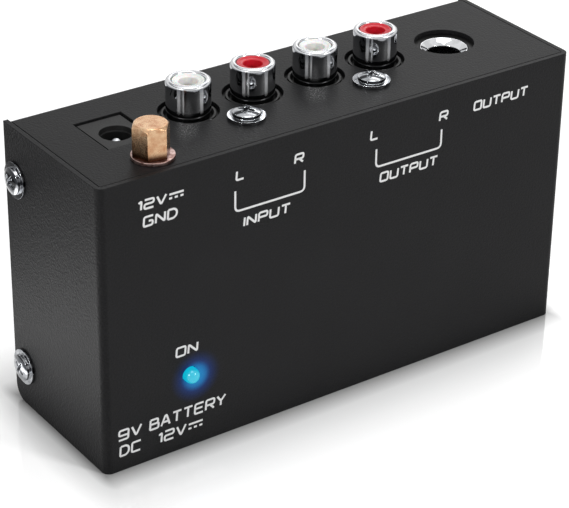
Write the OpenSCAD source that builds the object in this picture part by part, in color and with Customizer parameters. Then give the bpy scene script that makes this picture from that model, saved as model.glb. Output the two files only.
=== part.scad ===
// Small phono preamplifier in a folded sheet-steel case.
// The case stands on one long edge, with its row of jacks on the opposite edge.
// +Z points out of the jack panel and -Y out of the labelled face.
// The origin is the middle of the face that the case stands on.

/* [Case] */
// Length of the case
body_w = 105; // [101:1:140]
// Thickness of the case, from the labelled face to the back plate
body_d = 33; // [31.5:0.5:45]
// Height of the case, up to the face of the jack panel
body_h = 58; // [57:1:80]
// Thickness of the steel sheet
sheet = 1; // [0.8:0.1:1.2]
// Outer radius of each fold in the sheet
bend_r = 1.5; // [1.3:0.1:2]
// Gap along each seam between the cover and the chassis
seam = 0.1; // [0.05:0.05:0.2]
// Radius of the lower back corner of each side flap
flap_corner_r = 3; // [1:0.5:5]
// Clearance between parts that are fixed face to face
seat = 0.05; // [0.02:0.01:0.1]

/* [Cover screws] */
// Distance of the upper screws below the jack panel
upper_screw_drop = 10.2; // [8:0.2:14]
// Height of the lower screws above the base
lower_screw_z = 8.5; // [7:0.5:12]
// Distance of the screws from the back edge
cover_screw_inset = 4; // [4:0.5:6]
// Diameter of the screw heads
cover_screw_head_d = 7; // [5:0.5:7.5]
// Height of the screw heads
cover_screw_head_h = 1.5; // [1.2:0.1:2]
// Diameter of the screw shanks
cover_screw_d = 2.8; // [2.4:0.1:3.2]
// Length of the screw shanks
cover_screw_len = 4; // [3:0.5:4.5]
// Height of the chassis ears that the screws go into
ear_h = 10; // [8:1:12]
// Reach of the chassis ears in front of the back plate
ear_reach = 8; // [7:0.5:9]

/* [Phono jacks] */
// Distance of the first jack's axis from the side of the power jack
first_jack_gap = 11; // [10:0.5:12]
// Spacing of the jacks
jack_pitch = 14; // [13.5:0.5:14]
// Distance of the jacks behind the labelled face
jack_inset = 18.4; // [17.8:0.2:19]
// Diameter of the panel holes for the jacks
jack_hole_d = 11.4; // [10.8:0.2:12]
// Diameter of the plastic collars in those holes
collar_d = 10.1; // [9.6:0.1:10.6]
// Depth of the collars below the panel face
collar_sink = 0.4; // [0.1:0.1:0.8]
// Wall of the collars, around the groove beside each shell
collar_wall = 0.45; // [0.3:0.05:0.6]
// Depth of that groove
groove_depth = 1.2; // [0.6:0.1:2]
// Outer diameter of the metal shells
shell_d = 8.4; // [8:0.1:8.6]
// Thickness of the shell wall
shell_wall = 0.4; // [0.3:0.05:0.5]
// How much narrower the shells are below the shoulder that a plug stops at
shoulder_step = 0.3; // [0.2:0.05:0.35]
// Height of that shoulder above the panel face
shoulder_out = 0.3; // [0.2:0.1:0.5]
// Height of the shells above the panel face
shell_out = 6.3; // [5:0.1:8]
// Width of the rolled rim at the top of the shells
rim_w = 1.15; // [0.9:0.05:1.3]
// Height of the rolled rim
rim_h = 0.8; // [0.7:0.1:1]
// Diameter of the hole in the insulators
insulator_hole_d = 3.6; // [3.5:0.1:3.8]
// Inner diameter of the centre contacts
contact_bore_d = 3.24; // [3.2:0.02:3.3]
// Depth of the centre contacts below the shell rim
contact_sink = 2.8; // [2:0.2:4]
// Length of each twin jack block along the case
block_w = 26; // [25:0.5:26.5]
// Depth of the jack blocks below the panel
block_depth = 11; // [10:0.5:11]
// Height of the jack blocks in front of the jacks' axes
block_front = 5.4; // [5.2:0.1:6]
// Thickness of the wall behind each jack
block_back_wall = 3; // [2:0.5:3.5]
// Distance of the block screws behind the labelled face
block_screw_inset = 10; // [9.5:0.5:10.5]
// Diameter of the block screw heads
block_screw_head_d = 7.1; // [5.5:0.1:7.2]
// Height of the block screw heads
block_screw_head_h = 1.8; // [1.4:0.1:2.2]
// Diameter of the block screw shanks
block_screw_d = 2.6; // [2.2:0.1:3]
// Length of the block screw shanks
block_screw_len = 7; // [5:0.5:7.5]

/* [Power jack] */
// Distance of the power jack from the left end
dc_x_inset = 14.5; // [14:0.5:15]
// Distance of the power jack behind the labelled face
dc_inset = 18; // [17.5:0.5:18.5]
// Width of the power jack
dc_w = 9; // [8.6:0.2:9.4]
// Height of the power jack in front of its axis
dc_front = 5; // [4.6:0.1:5.2]
// Gap between the back of its nose and the board
dc_nose_gap = 0.7; // [0.5:0.1:1]
// Length of the power jack
dc_len = 14; // [12:0.5:14]
// Depth of its nose below the panel face
dc_sink = 0.3; // [0.2:0.1:0.8]
// Gap around the nose in the panel
dc_gap = 0.45; // [0.2:0.05:0.5]
// Diameter of the mouth of its socket
dc_socket_d = 6.2; // [6.1:0.1:6.4]
// Depth of the mouth of its socket
dc_mouth_depth = 1; // [0.8:0.1:1.2]
// Diameter of the socket below its mouth
dc_barrel_d = 5.7; // [5.6:0.1:5.8]
// Whole depth of its socket
dc_socket_depth = 9.6; // [8:0.2:10]
// Depth of the tip of its centre pin below the mouth
dc_pin_drop = 0.1; // [0.05:0.05:0.5]
// Diameter of its centre pin
dc_pin_d = 2; // [1.9:0.1:2.5]

/* [Ground terminal] */
// Distance of the ground terminal from the left end
ground_x_inset = 14.2; // [13:0.2:16]
// Distance of the ground terminal behind the labelled face
ground_inset = 5.7; // [5.5:0.1:6]
// Diameter of the stud
stud_d = 4; // [3:0.2:4]
// Size of the cap nut across its flats
nut_flats = 6.1; // [5.8:0.1:7]
// Height of the cap nut
nut_h = 6.1; // [5:0.1:7]
// Thickness of the cap nut's closed top
nut_top = 1.1; // [0.8:0.1:1.4]
// Turn of the cap nut about its axis, in degrees
nut_turn = -11; // [-30:1:30]
// Diameter of the washer
washer_d = 7.9; // [7.6:0.1:9]
// Diameter of the hole in the washer
washer_hole_d = 4.8; // [4.6:0.1:5]
// Distance that the loose washer sits to the right of the stud
washer_shift = 0.35; // [0:0.05:0.35]
// Thickness of the washer
washer_t = 0.7; // [0.5:0.1:1]
// Running clearance between the stud and what turns on it
stud_clearance = 0.06; // [0.04:0.01:0.1]
// Thickness of the solder lug
lug_t = 0.5; // [0.4:0.1:0.8]
// Height of the nut inside the case
inner_nut_h = 3; // [2:0.2:3.2]
// Diameter of the ground wire
ground_wire_d = 1.3; // [1:0.1:1.6]

/* [Large jack] */
// Distance of the 6.35 mm jack from the right end
phone_x_inset = 17; // [16:0.5:17.5]
// Distance of the 6.35 mm jack behind the labelled face
phone_inset = 17.3; // [17:0.1:17.8]
// Diameter of its panel hole
phone_hole_d = 11.6; // [11:0.2:12.4]
// Outer diameter of its metal ferrule
ferrule_d = 9.4; // [9:0.1:10]
// Diameter of its bore
phone_bore_d = 6.6; // [6.4:0.05:6.8]
// How much wider the bore is inside the jack body
body_bore_more = 0.4; // [0.2:0.1:0.6]
// Depth of the ferrule below the panel face
ferrule_sink = 1.1; // [0.9:0.1:1.9]
// Depth of the bevel at the mouth of the ferrule
ferrule_bevel = 1.2; // [0.6:0.1:1.3]
// Length of the ferrule
ferrule_len = 9.5; // [8:0.5:11]
// Width of the jack body
phone_w = 15.4; // [14:0.2:15.6]
// Height of the jack body in front of its axis
phone_front = 7.4; // [6.6:0.1:8]
// Length of the jack body
phone_len = 29; // [27:0.5:30]
// Thickness of its leaf springs
leaf_t = 0.4; // [0.3:0.05:0.5]

/* [LED] */
// Distance of the LED from the left end
led_x_inset = 18.2; // [17.8:0.1:19]
// Height of the LED above the base
led_z = 15.4; // [14.8:0.1:16]
// Diameter of the LED
led_d = 3; // [2.8:0.1:3.2]
// How far the LED stands out of the labelled face
led_out = 1.9; // [1.6:0.1:2.2]
// Length of the LED
led_len = 5.4; // [5:0.1:5.8]
// Diameter of the LED's flange
led_flange_d = 3.8; // [3.5:0.1:4]
// Diameter of the spacer that holds the LED
spacer_d = 4.8; // [4.4:0.1:5]

/* [Circuit board] */
// Length of the standoffs between the back plate and the board
standoff_len = 5.5; // [5.4:0.1:5.8]
// Thickness of the board
board_t = 1.6; // [1:0.2:1.6]
// Gap between the board's edge and the case
board_gap = 1.6; // [1.5:0.1:1.8]
// Height of the board's lower edge on the side of the 6.35 mm jack
right_leg_z = 26; // [20:1:27]
// Gap between the board and the battery box
notch_gap = 0.7; // [0.4:0.1:0.8]
// Diameter of the standoffs
standoff_d = 5; // [4:0.2:5.2]
// Diameter of the board screws
board_screw_d = 2.4; // [2:0.1:2.6]
// Distance of the standoffs from the ends of the case
standoff_inset = 6.6; // [6.5:0.1:6.7]
// Diameter of the tall capacitors
cap_d = 5; // [4:0.5:5]
// Height of the tall capacitors
cap_h = 11; // [8:0.5:14]
// Spacing of the tall capacitors
cap_pitch = 7.4; // [7.2:0.1:7.5]
// Diameter of the filter capacitor
filter_d = 8; // [6.3:0.1:8]
// Height of the filter capacitor
filter_h = 12; // [10:0.5:14]

/* [Power switch] */
// Distance of the switch from the left end
switch_x_inset = 14; // [13.8:0.1:14.6]
// Length of the switch frame
switch_w = 12.6; // [12.4:0.1:13]
// Width of the switch frame
switch_d = 5.6; // [5.4:0.1:6]
// Height of the switch frame
switch_h = 4.2; // [4:0.1:4.6]
// Thickness of the switch frame
frame_t = 0.4; // [0.3:0.05:0.5]
// Travel of the knob between its end positions
switch_travel = 6; // [4:0.5:6]
// Width of the knob
knob_w = 3; // [2.6:0.1:3.2]
// Thickness of the knob
knob_d = 2; // [1.6:0.1:2.2]
// Clearance around the knob
knob_gap = 0.3; // [0.25:0.05:0.4]
// Depth of the knob's end below the face of the base
knob_sink = 0.2; // [0.1:0.05:0.4]

/* [Battery box] */
// Length of the battery without its terminals
battery_w = 46.4; // [44:0.2:46.6]
// Height of the battery
battery_h = 26.5; // [25:0.1:26.6]
// Thickness of the battery
battery_d = 17.5; // [16:0.1:17.6]
// Radius of the battery's edges
battery_r = 2; // [1:0.5:3]
// Clearance around the battery
battery_gap = 0.4; // [0.3:0.05:0.5]
// Height of the battery's terminals
terminal_h = 2.1; // [1.8:0.1:2.4]
// Spacing of the battery's terminals
terminal_pitch = 12.7; // [12.5:0.1:13]
// Wall of the battery box
box_wall = 1.6; // [1.4:0.1:1.8]
// Height of the battery box above the base
box_z = 4.5; // [3.8:0.1:4.8]
// Thickness of the flange on the back plate
flange_t = 1.4; // [1.2:0.1:1.6]
// Width of the flange at its ends
flange_end = 6; // [5.5:0.1:6.5]
// Width of the flange along its lower edge
flange_low = 2.4; // [1.8:0.1:2.6]
// Thickness of the door
door_t = 1.6; // [1.4:0.1:1.8]
// Gap around the door
door_gap = 0.25; // [0.2:0.05:0.3]
// Depth of the door's face below the flange
door_sink = 0.2; // [0.1:0.05:0.3]
// Radius of the hinge knuckles
knuckle_r = 1.3; // [1.2:0.05:1.35]
// Radius of the hinge pin
hinge_pin_r = 0.6; // [0.5:0.05:0.7]
// Running clearance of the hinge pin in the door
hinge_clearance = 0.05; // [0.03:0.01:0.08]
// Length of the door's knuckle
door_knuckle_len = 12; // [8:1:16]
// Length of each fixed knuckle
fixed_knuckle_len = 6; // [4:0.5:8]
// Diameter of the battery leads
lead_d = 1.2; // [0.8:0.1:1.4]

/* [Feet] */
// Diameter of the rubber feet
foot_d = 9; // [7:0.5:10]
// Height of the rubber feet
foot_h = 3.5; // [3.2:0.1:5]
// Distance of the feet from the ends of the case
foot_x_inset = 8.5; // [7:0.5:9]
// Distance of the feet from the base and the jack panel
foot_z_inset = 7; // [6.5:0.5:9]

/* [Hidden] */

$fn = 64;
// Length by which a cutter runs past the face that it cuts
past = 1;

// Faces of the case
left = -body_w / 2;
right = body_w / 2;
front = -body_d / 2;
back = body_d / 2;
inner_front = front + sheet;
inner_back = back - sheet;
inner_top = body_h - sheet;
chassis_w = body_w - 2 * (sheet + seam);
ear_face = chassis_w / 2;

// The jacks keep their share of the case's depth, and of the room along it between the power
// jack and the 6.35 mm jack
drawn_d = 33;
drawn_row = 61.3;
across = body_d / drawn_d;

// Cover screws
screw_turn = 35;
upper_screw_z = body_h - upper_screw_drop;
cover_screw_y = back - cover_screw_inset;
cover_screw_heights = [lower_screw_z, upper_screw_z];

// Power jack and 6.35 mm jack, along the case
dc_x = left + dc_x_inset;
dc_right = dc_x + dc_w / 2;
phone_x = right - phone_x_inset;
phone_left = phone_x - phone_w / 2;
along = (phone_left - dc_right) / drawn_row;

// Phono jacks: two blocks of two
jack_y = front + jack_inset * across;
jack_xs = [for (i = [0:3]) dc_right + (first_jack_gap + i * jack_pitch) * along];
block_len = block_w * along;
block_xs = [(jack_xs[0] + jack_xs[1]) / 2, (jack_xs[2] + jack_xs[3]) / 2];
block_top = inner_top - seat;
block_low = inner_top - block_depth;
block_screw_y = front + block_screw_inset * across;
shell_r = shell_d / 2;
shell_top = body_h + shell_out;
shell_floor = block_low + block_back_wall;
shell_inner_r = shell_r - shell_wall;
shell_root_r = shell_r - shoulder_step;
root_inner_r = shell_root_r - shell_wall;
shoulder_z = body_h + shoulder_out;
shoulder_inner_z = shoulder_z - shell_wall;
insulator_top = shell_top - rim_h / 2;
contact_top = shell_top - contact_sink;
contact_r = insulator_hole_d / 2 - seat / 2;
tail_t = 0.6;
tail_w = 1.6;

// Circuit board
board_back = inner_back - standoff_len;
board_y = board_back - board_t;
board_left = left + sheet + board_gap;
board_right = right - sheet - board_gap;
board_top = inner_top - notch_gap;
board_low = sheet + 2.4;

// Power jack
dc_y = front + dc_inset * across;
dc_top = body_h - dc_sink;
dc_low = dc_top - dc_len;
dc_floor = dc_top - dc_socket_depth;
dc_nose_y = board_y - dc_nose_gap;

// Ground terminal
ground_x = left + ground_x_inset;
ground_y = front + ground_inset * across;
washer_low = body_h + seat / 2;
nut_low = washer_low + washer_t + seat / 2;
stud_hole_r = stud_d / 2 + stud_clearance;
stud_top = nut_low + nut_h - nut_top - 0.3;
stud_collar_r = stud_d / 2 + 0.8;
lug_top = inner_top - seat;
inner_nut_top = lug_top - lug_t - seat;
stud_low = inner_nut_top - inner_nut_h - 1.2;
lug_reach = 8;

// 6.35 mm jack
phone_y = front + phone_inset * across;
phone_top = inner_top - seat;
phone_low = phone_top - phone_len;
ferrule_top = body_h - ferrule_sink;

// LED
led_x = left + led_x_inset;
led_tip_y = front - led_out;
led_base_y = led_tip_y + led_len;
led_pitch = 2.54;
lead_w = 0.5;

// Power switch
switch_x = left + switch_x_inset;
switch_y = board_y - seat - switch_d / 2;
switch_low = sheet + seat;
switch_rest_x = switch_x - switch_travel / 2;
knob_foot_w = knob_w + 2;
knob_foot_h = 1.6;
knob_foot_z = switch_low + frame_t + 0.2;
base_h = 2.2;
base_z = knob_foot_z + knob_foot_h + 0.25;
slot_w = switch_travel + knob_w + 2 * knob_gap;
slot_d = knob_d + 2 * knob_gap;

// Battery box: midway between the switch and the 6.35 mm jack, under the row of board parts
row_room = 10.9;
lead_room = 3.4;
led_right = led_x + spacer_d / 2;
switch_right = switch_x + switch_w / 2;
box_room_w = phone_left - max(led_right, switch_right) - 2 * lead_room;
box_room_h = block_low - row_room - box_z;
battery_len = min(battery_w, box_room_w - terminal_h - 2 * battery_gap - 2 * box_wall);
battery_tall = min(battery_h, box_room_h - 2 * battery_gap - 2 * box_wall);
box_in_w = battery_len + terminal_h + 2 * battery_gap;
box_in_h = battery_tall + 2 * battery_gap;
box_w = box_in_w + 2 * box_wall;
box_h = box_in_h + 2 * box_wall;
box_x = (max(led_right, switch_right) + phone_left) / 2;
box_left = box_x - box_w / 2;
box_right = box_x + box_w / 2;
box_top_z = box_z + box_h;
box_mid_z = box_z + box_h / 2;
flange_face = back + flange_t;
door_face = flange_face - door_sink;
door_back = door_face - door_t;
ledge_y = door_back - seat;
battery_back = ledge_y - seat;
battery_front = battery_back - battery_d;
box_floor_y = battery_front - seat;
box_front = box_floor_y - box_wall;
step_w = box_wall / 2;
rebate_top = box_top_z - step_w;
door_top = rebate_top - door_gap;
hinge_z = rebate_top + 1.4;
hinge_y = back + knuckle_r + 0.3;
hinge_half = door_knuckle_len / 2 + door_gap + fixed_knuckle_len;
battery_x0 = box_left + box_wall + terminal_h + battery_gap;
battery_y = (battery_front + battery_back) / 2;
terminal_zs = [box_mid_z - terminal_pitch / 2, box_mid_z + terminal_pitch / 2];
big_terminal_r = 4.2;
small_terminal_r = 2.85;
snap_gap = 0.1;
box_screw_xs = [box_left - flange_end / 2, box_right + flange_end / 2];
rivet_r = 0.8;
rivet_out = 0.6;

// Parts on the board: two columns at the left, and one row under the jack blocks
film_w = 7;
film_t = 2.6;
left_column_x = left + 6.8;
right_column_x = left_column_x + film_w + 0.8;
row_z = (box_top_z + block_low) / 2;
row_left = right_column_x + film_w / 2;
chip_x = (row_left + phone_left) / 2;
chip_w = 9.6;
chip_h = 6.4;
chip_d = 3.3;
chip_lift = 0.5;
leg_pitch = 2.54;
leg_span = 7.62;
first_cap = chip_w / 2 + cap_d / 2 + 1.3;
cap_step = min(cap_pitch, (phone_left - chip_x - first_cap - cap_d / 2 - 0.3) / 2);
cap_offsets = [for (side = [-1, 1], i = [0:2]) side * (first_cap + i * cap_step)];
row_resistor_offsets = [for (side = [-1, 1], i = [0:1]) side * (first_cap + (i + 0.5) * cap_step)];
filter_z = dc_low - filter_d / 2 - 1.2;
column_room = filter_z - filter_d / 2 - led_z;
film_zs = [led_z + 0.63 * column_room, led_z + 0.84 * column_room];
small_row_z = led_z + 0.37 * column_room;
low_row_z = led_z + 0.19 * column_room;
regulator_r = 2.3;
diode_z = (film_zs[1] + film_t / 2 + filter_z - regulator_r) / 2;
standoff_points = [
  [left + standoff_inset, inner_top - 5],
  [right - standoff_inset, inner_top - 5],
  [left + standoff_inset, led_z - 4.4],
  [right - standoff_inset, right_leg_z + 4]
];

// A bar between two opposite corners
module bar(low, high) {
  translate(low) cube(high - low);
}

// A wall of the given thickness whose outline is drawn as x and z, from y_back forward
module plate_facing_front(y_back, thickness) {
  translate([0, y_back, 0]) rotate([90, 0, 0]) linear_extrude(thickness) children();
}

// A rod along Y from y_low to y_high
module rod_y(x, z, y_low, y_high, radius) {
  translate([x, y_low, z]) rotate([-90, 0, 0]) cylinder(h = y_high - y_low, r = radius);
}

// A rod along X from x_low to x_high
module rod_x(x_low, x_high, y, z, radius) {
  translate([x_low, y, z]) rotate([0, 90, 0]) cylinder(h = x_high - x_low, r = radius);
}

// Outline of a sheet folded into a U that opens towards +Y
module u_outline(width, arm, thick, radius) {
  half = width / 2;
  difference() {
    union() {
      translate([-half + radius, 0]) square([width - 2 * radius, arm]);
      translate([-half, radius]) square([width, arm - radius]);
      for (side = [-1, 1]) translate([side * (half - radius), radius]) circle(radius);
    }
    translate([-half + radius, thick]) square([width - 2 * radius, arm]);
    translate([-half + thick, radius]) square([width - 2 * thick, arm]);
    for (side = [-1, 1]) translate([side * (half - radius), radius]) circle(radius - thick);
  }
}

// Outline of a box with rounded corners, centred
module rounded_outline(width, height, radius) {
  square([width - 2 * radius, height], center = true);
  square([width, height - 2 * radius], center = true);
  for (sx = [-1, 1], sy = [-1, 1])
    translate([sx * (width / 2 - radius), sy * (height / 2 - radius)]) circle(radius);
}

// A pan-head screw with a cross recess: its seat is at z = 0 and its head above it
module pan_screw(head_d, head_h, shank_d, shank_len) {
  flange_h = 0.35 * head_h;
  dome_r = 0.37 * head_d;
  ball_r = (dome_r * dome_r + head_h * head_h / 4) / head_h * 1.6;
  slot_len = 0.42 * head_d;
  difference() {
    union() {
      cylinder(h = flange_h, d = head_d);
      intersection() {
        cylinder(h = head_h, r = dome_r);
        translate([0, 0, head_h - ball_r]) sphere(ball_r);
      }
    }
    for (turn = [0, 90])
      rotate([0, 0, turn]) translate([-slot_len / 2, -head_h / 5, head_h / 2])
        cube([slot_len, head_h / 2.5, head_h]);
  }
  translate([0, 0, -shank_len]) cylinder(h = shank_len, d = shank_d);
}

// A point on a smooth curve through the points p, a share t of the way from i to i + 1
function curve_point(p, i, t) = let (
    a = p[max(i - 1, 0)],
    b = p[i],
    c = p[i + 1],
    d = p[min(i + 2, len(p) - 1)]
  ) 0.5 * (2 * b + (c - a) * t + (2 * a - 5 * b + 4 * c - d) * t * t
    + (3 * b - a - 3 * c + d) * t * t * t);
function smooth_path(p, steps) = concat(
  [for (i = [0:len(p) - 2], s = [0:steps - 1]) curve_point(p, i, s / steps)],
  [p[len(p) - 1]]
);
function unit(v) = v / norm(v);

// A wire of round section along the points of a path, whose rings face along it
module wire(points, diameter, side_axis) {
  sides = 8;
  path = smooth_path(points, 4);
  last = len(path) - 1;
  ring_points = [for (i = [0:last]) let (
      along = unit(path[min(i + 1, last)] - path[max(i - 1, 0)]),
      u = unit(cross(along, side_axis)),
      v = cross(along, u)
    ) for (k = [0:sides - 1])
      path[i] + diameter / 2 * (cos(360 * k / sides) * u + sin(360 * k / sides) * v)];
  walls = [for (i = [0:last - 1], k = [0:sides - 1]) let (n = (k + 1) % sides)
    [i * sides + n, i * sides + k, (i + 1) * sides + k, (i + 1) * sides + n]];
  start_cap = [[for (k = [0:sides - 1]) k]];
  end_cap = [[for (k = [sides - 1:-1:0]) last * sides + k]];
  polyhedron(ring_points, concat(start_cap, walls, end_cap), convexity = 4);
}

// Case ---------------------------------------------------------------------

module cover() {
  color("#2d2d2f") difference() {
    translate([0, front, 0]) linear_extrude(body_h) u_outline(body_w, body_d, sheet, bend_r);
    rod_y(led_x, led_z, front - past, inner_front + past, led_d / 2 + 0.15);
    for (side = [-1, 1]) {
      for (z = cover_screw_heights)
        rod_x(side * body_w / 2 - 2 * sheet, side * body_w / 2 + 2 * sheet, cover_screw_y, z,
          cover_screw_d / 2 + 0.2);
      difference() {
        bar([side * body_w / 2 - 2 * sheet, back - flap_corner_r, -past],
          [side * body_w / 2 + 2 * sheet, back + past, flap_corner_r]);
        rod_x(side * body_w / 2 - 3 * sheet, side * body_w / 2 + 3 * sheet, back - flap_corner_r,
          flap_corner_r, flap_corner_r);
      }
    }
  }
}

module chassis_ears() {
  for (side = [-1, 1], z = cover_screw_heights) {
    x_in = side * (ear_face - sheet);
    x_out = side * ear_face;
    bar([min(x_in, x_out), inner_back - ear_reach, z - ear_h / 2],
      [max(x_in, x_out), inner_back + sheet / 2, z + ear_h / 2]);
  }
}

module jack_panel_holes() {
  for (x = jack_xs)
    translate([x, jack_y, inner_top - past]) cylinder(h = sheet + 2 * past, d = jack_hole_d);
  for (x = block_xs)
    translate([x, block_screw_y, inner_top - past])
      cylinder(h = sheet + 2 * past, d = block_screw_d + 0.6);
  bar([dc_x - dc_w / 2 - dc_gap, dc_y - dc_front - dc_gap, inner_top - past],
    [dc_x + dc_w / 2 + dc_gap, dc_nose_y + dc_gap, body_h + past]);
  translate([ground_x, ground_y, inner_top - past])
    cylinder(h = sheet + 2 * past, r = stud_collar_r + seat);
  translate([phone_x, phone_y, inner_top - past])
    cylinder(h = sheet + 2 * past, d = phone_hole_d);
}

module back_plate_holes() {
  bar([box_left - seat, inner_back - past, box_z - seat],
    [box_right + seat, back + past, box_top_z + seat]);
  for (x = box_screw_xs) rod_y(x, box_mid_z, inner_back - past, back + past, 1.02);
  for (p = standoff_points)
    rod_y(p[0], p[1], inner_back - past, back + past, standoff_d / 2 - 1 + 0.02);
}

module chassis() {
  color("#3a3a3c") difference() {
    union() {
      translate([-chassis_w / 2, back, body_h / 2]) rotate([0, -90, 180])
        linear_extrude(chassis_w)
          u_outline(body_h, body_d - sheet - seam, sheet, bend_r);
      chassis_ears();
    }
    jack_panel_holes();
    back_plate_holes();
    bar([switch_x - slot_w / 2, switch_y - slot_d / 2, -past],
      [switch_x + slot_w / 2, switch_y + slot_d / 2, sheet + past]);
    for (side = [-1, 1], z = cover_screw_heights)
      rod_x(side * ear_face - 2 * sheet, side * ear_face + 2 * sheet, cover_screw_y, z,
        cover_screw_d / 2 + 0.02);
  }
}

module cover_screws() {
  color("#d4d6d8") for (side = [-1, 1], z = cover_screw_heights)
    translate([side * (body_w / 2 + seat / 2), cover_screw_y, z])
      rotate([0, 90 * side, 0]) rotate([0, 0, side * screw_turn])
        pan_screw(cover_screw_head_d, cover_screw_head_h, cover_screw_d, cover_screw_len);
}

module rubber_feet() {
  color("#1c1c1c") for (side = [-1, 1], z = [foot_z_inset, body_h - foot_z_inset])
    translate([side * (body_w / 2 - foot_x_inset), back, z]) rotate([-90, 0, 0])
      difference() {
        union() {
          cylinder(h = foot_h - 0.6, d = foot_d);
          translate([0, 0, foot_h - 0.6]) cylinder(h = 0.6, d1 = foot_d, d2 = foot_d - 1.2);
        }
        translate([0, 0, foot_h - 0.8]) cylinder(h = past, d = foot_d / 3);
      }
}

// Phono jacks ----------------------------------------------------------------

module jack_block(first, centre) {
  color("#1b1b1b") difference() {
    union() {
      bar([centre - block_len / 2, jack_y - block_front, block_low],
        [centre + block_len / 2, board_y, block_top]);
      bar([centre - block_screw_d - 1.2, block_screw_y - block_screw_d - 1.2,
        block_top - block_screw_len - 1], [centre + block_screw_d + 1.2, jack_y, block_top]);
      for (i = [first, first + 1])
        translate([jack_xs[i], jack_y, block_top - past])
          cylinder(h = body_h - collar_sink - block_top + past, d = collar_d);
    }
    for (i = [first, first + 1]) {
      translate([jack_xs[i], jack_y, shell_floor])
        cylinder(h = body_h - shell_floor + past, r = shell_root_r + 0.02);
      translate([jack_xs[i], jack_y, body_h - collar_sink - groove_depth])
        cylinder(h = groove_depth + past, d = collar_d - 2 * collar_wall);
      translate([jack_xs[i], jack_y, block_low - past])
        cylinder(h = block_depth, r = contact_r + 0.02);
    }
    translate([centre, block_screw_y, block_top - block_screw_len])
      cylinder(h = block_screw_len + past, d = block_screw_d + 0.04);
  }
}

module input_jack_block() {
  jack_block(0, block_xs[0]);
}

module output_jack_block() {
  jack_block(2, block_xs[1]);
}

// The shell's section: a narrower root, a straight wall and a rolled rim at its top
module shell(index) {
  rim_r = rim_h / 2;
  color("#c9ccd0") translate([jack_xs[index], jack_y, 0]) rotate_extrude() {
    polygon([
      [root_inner_r, shell_floor],
      [shell_root_r, shell_floor],
      [shell_root_r, shoulder_z],
      [shell_r, shoulder_z],
      [shell_r, shell_top - rim_r],
      [shell_inner_r, shell_top - rim_r],
      [shell_inner_r, shoulder_inner_z],
      [root_inner_r, shoulder_inner_z]
    ]);
    translate([shell_r - rim_w + rim_r, shell_top - rim_h]) square([rim_w - 2 * rim_r, rim_h]);
    for (x = [shell_r - rim_w + rim_r, shell_r - rim_r])
      translate([x, shell_top - rim_r]) circle(rim_r);
  }
}

module input_left_shell() {
  shell(0);
}

module input_right_shell() {
  shell(1);
}

module output_left_shell() {
  shell(2);
}

module output_right_shell() {
  shell(3);
}

// The insulator's section: a neck inside the rim, dished around the centre hole
module insulator(index, tint) {
  shoulder = shell_top - rim_h - seat;
  neck_r = shell_r - rim_w - seat;
  hole_r = insulator_hole_d / 2;
  color(tint) translate([jack_xs[index], jack_y, 0]) rotate_extrude() polygon([
    [hole_r, shell_floor + seat],
    [root_inner_r - seat, shell_floor + seat],
    [root_inner_r - seat, shoulder_inner_z - seat],
    [shell_inner_r - seat, shoulder_inner_z],
    [shell_inner_r - seat, shoulder],
    [neck_r, shoulder],
    [neck_r, insulator_top],
    [neck_r - 0.35, insulator_top],
    [hole_r + 0.2, insulator_top - 0.5],
    [hole_r, insulator_top - 0.8]
  ]);
}

module input_left_insulator() {
  insulator(0, "#f2f2f0");
}

module input_right_insulator() {
  insulator(1, "#d8232f");
}

module output_left_insulator() {
  insulator(2, "#f2f2f0");
}

module output_right_insulator() {
  insulator(3, "#d8232f");
}

// Sockets for the plugs' pins, each with a tail behind its block that reaches the board
module jack_contacts() {
  tail_top = block_low - seat;
  color("#d8c070") for (x = jack_xs) {
    translate([x, jack_y, 0]) difference() {
      translate([0, 0, tail_top - tail_t]) cylinder(h = contact_top - tail_top + tail_t, r = contact_r);
      translate([0, 0, tail_top]) cylinder(h = contact_top, d = contact_bore_d);
    }
    bar([x - tail_w / 2, jack_y, tail_top - tail_t], [x + tail_w / 2, board_y, tail_top]);
  }
}

module jack_block_screws() {
  color("#d4d6d8") for (x = block_xs)
    translate([x, block_screw_y, body_h + seat / 2]) rotate([0, 0, screw_turn])
      pan_screw(block_screw_head_d, block_screw_head_h, block_screw_d, block_screw_len);
}

// Power jack -----------------------------------------------------------------

module dc_jack_body() {
  color("#151515") difference() {
    union() {
      bar([dc_x - dc_w / 2, dc_y - dc_front, dc_low], [dc_x + dc_w / 2, board_y, block_top]);
      bar([dc_x - dc_w / 2, dc_y - dc_front, dc_low],
        [dc_x + dc_w / 2, dc_nose_y, dc_top]);
    }
    translate([dc_x, dc_y, dc_floor]) cylinder(h = dc_socket_depth + past, d = dc_barrel_d);
    translate([dc_x, dc_y, dc_top - dc_mouth_depth])
      cylinder(h = dc_mouth_depth + past, d = dc_socket_d);
    translate([dc_x, dc_y, dc_low - past])
      cylinder(h = dc_len, d = dc_pin_d + 0.04);
    bar([dc_x - 1.2, dc_y - dc_socket_d / 2 - 0.6, dc_low - past], [dc_x + 1.2, dc_y, dc_top - 2]);
  }
}

module dc_jack_pin() {
  tip_r = dc_pin_d / 2;
  pin_top = dc_top - dc_mouth_depth - dc_pin_drop;
  color("#d0d2d4") {
    translate([dc_x, dc_y, dc_low - 0.6]) cylinder(h = pin_top - tip_r - dc_low + 0.6, r = tip_r);
    translate([dc_x, dc_y, pin_top - tip_r]) sphere(tip_r);
    bar([dc_x - 0.8, dc_y, dc_low - 0.6], [dc_x + 0.8, board_y, dc_low - seat]);
  }
}

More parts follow.
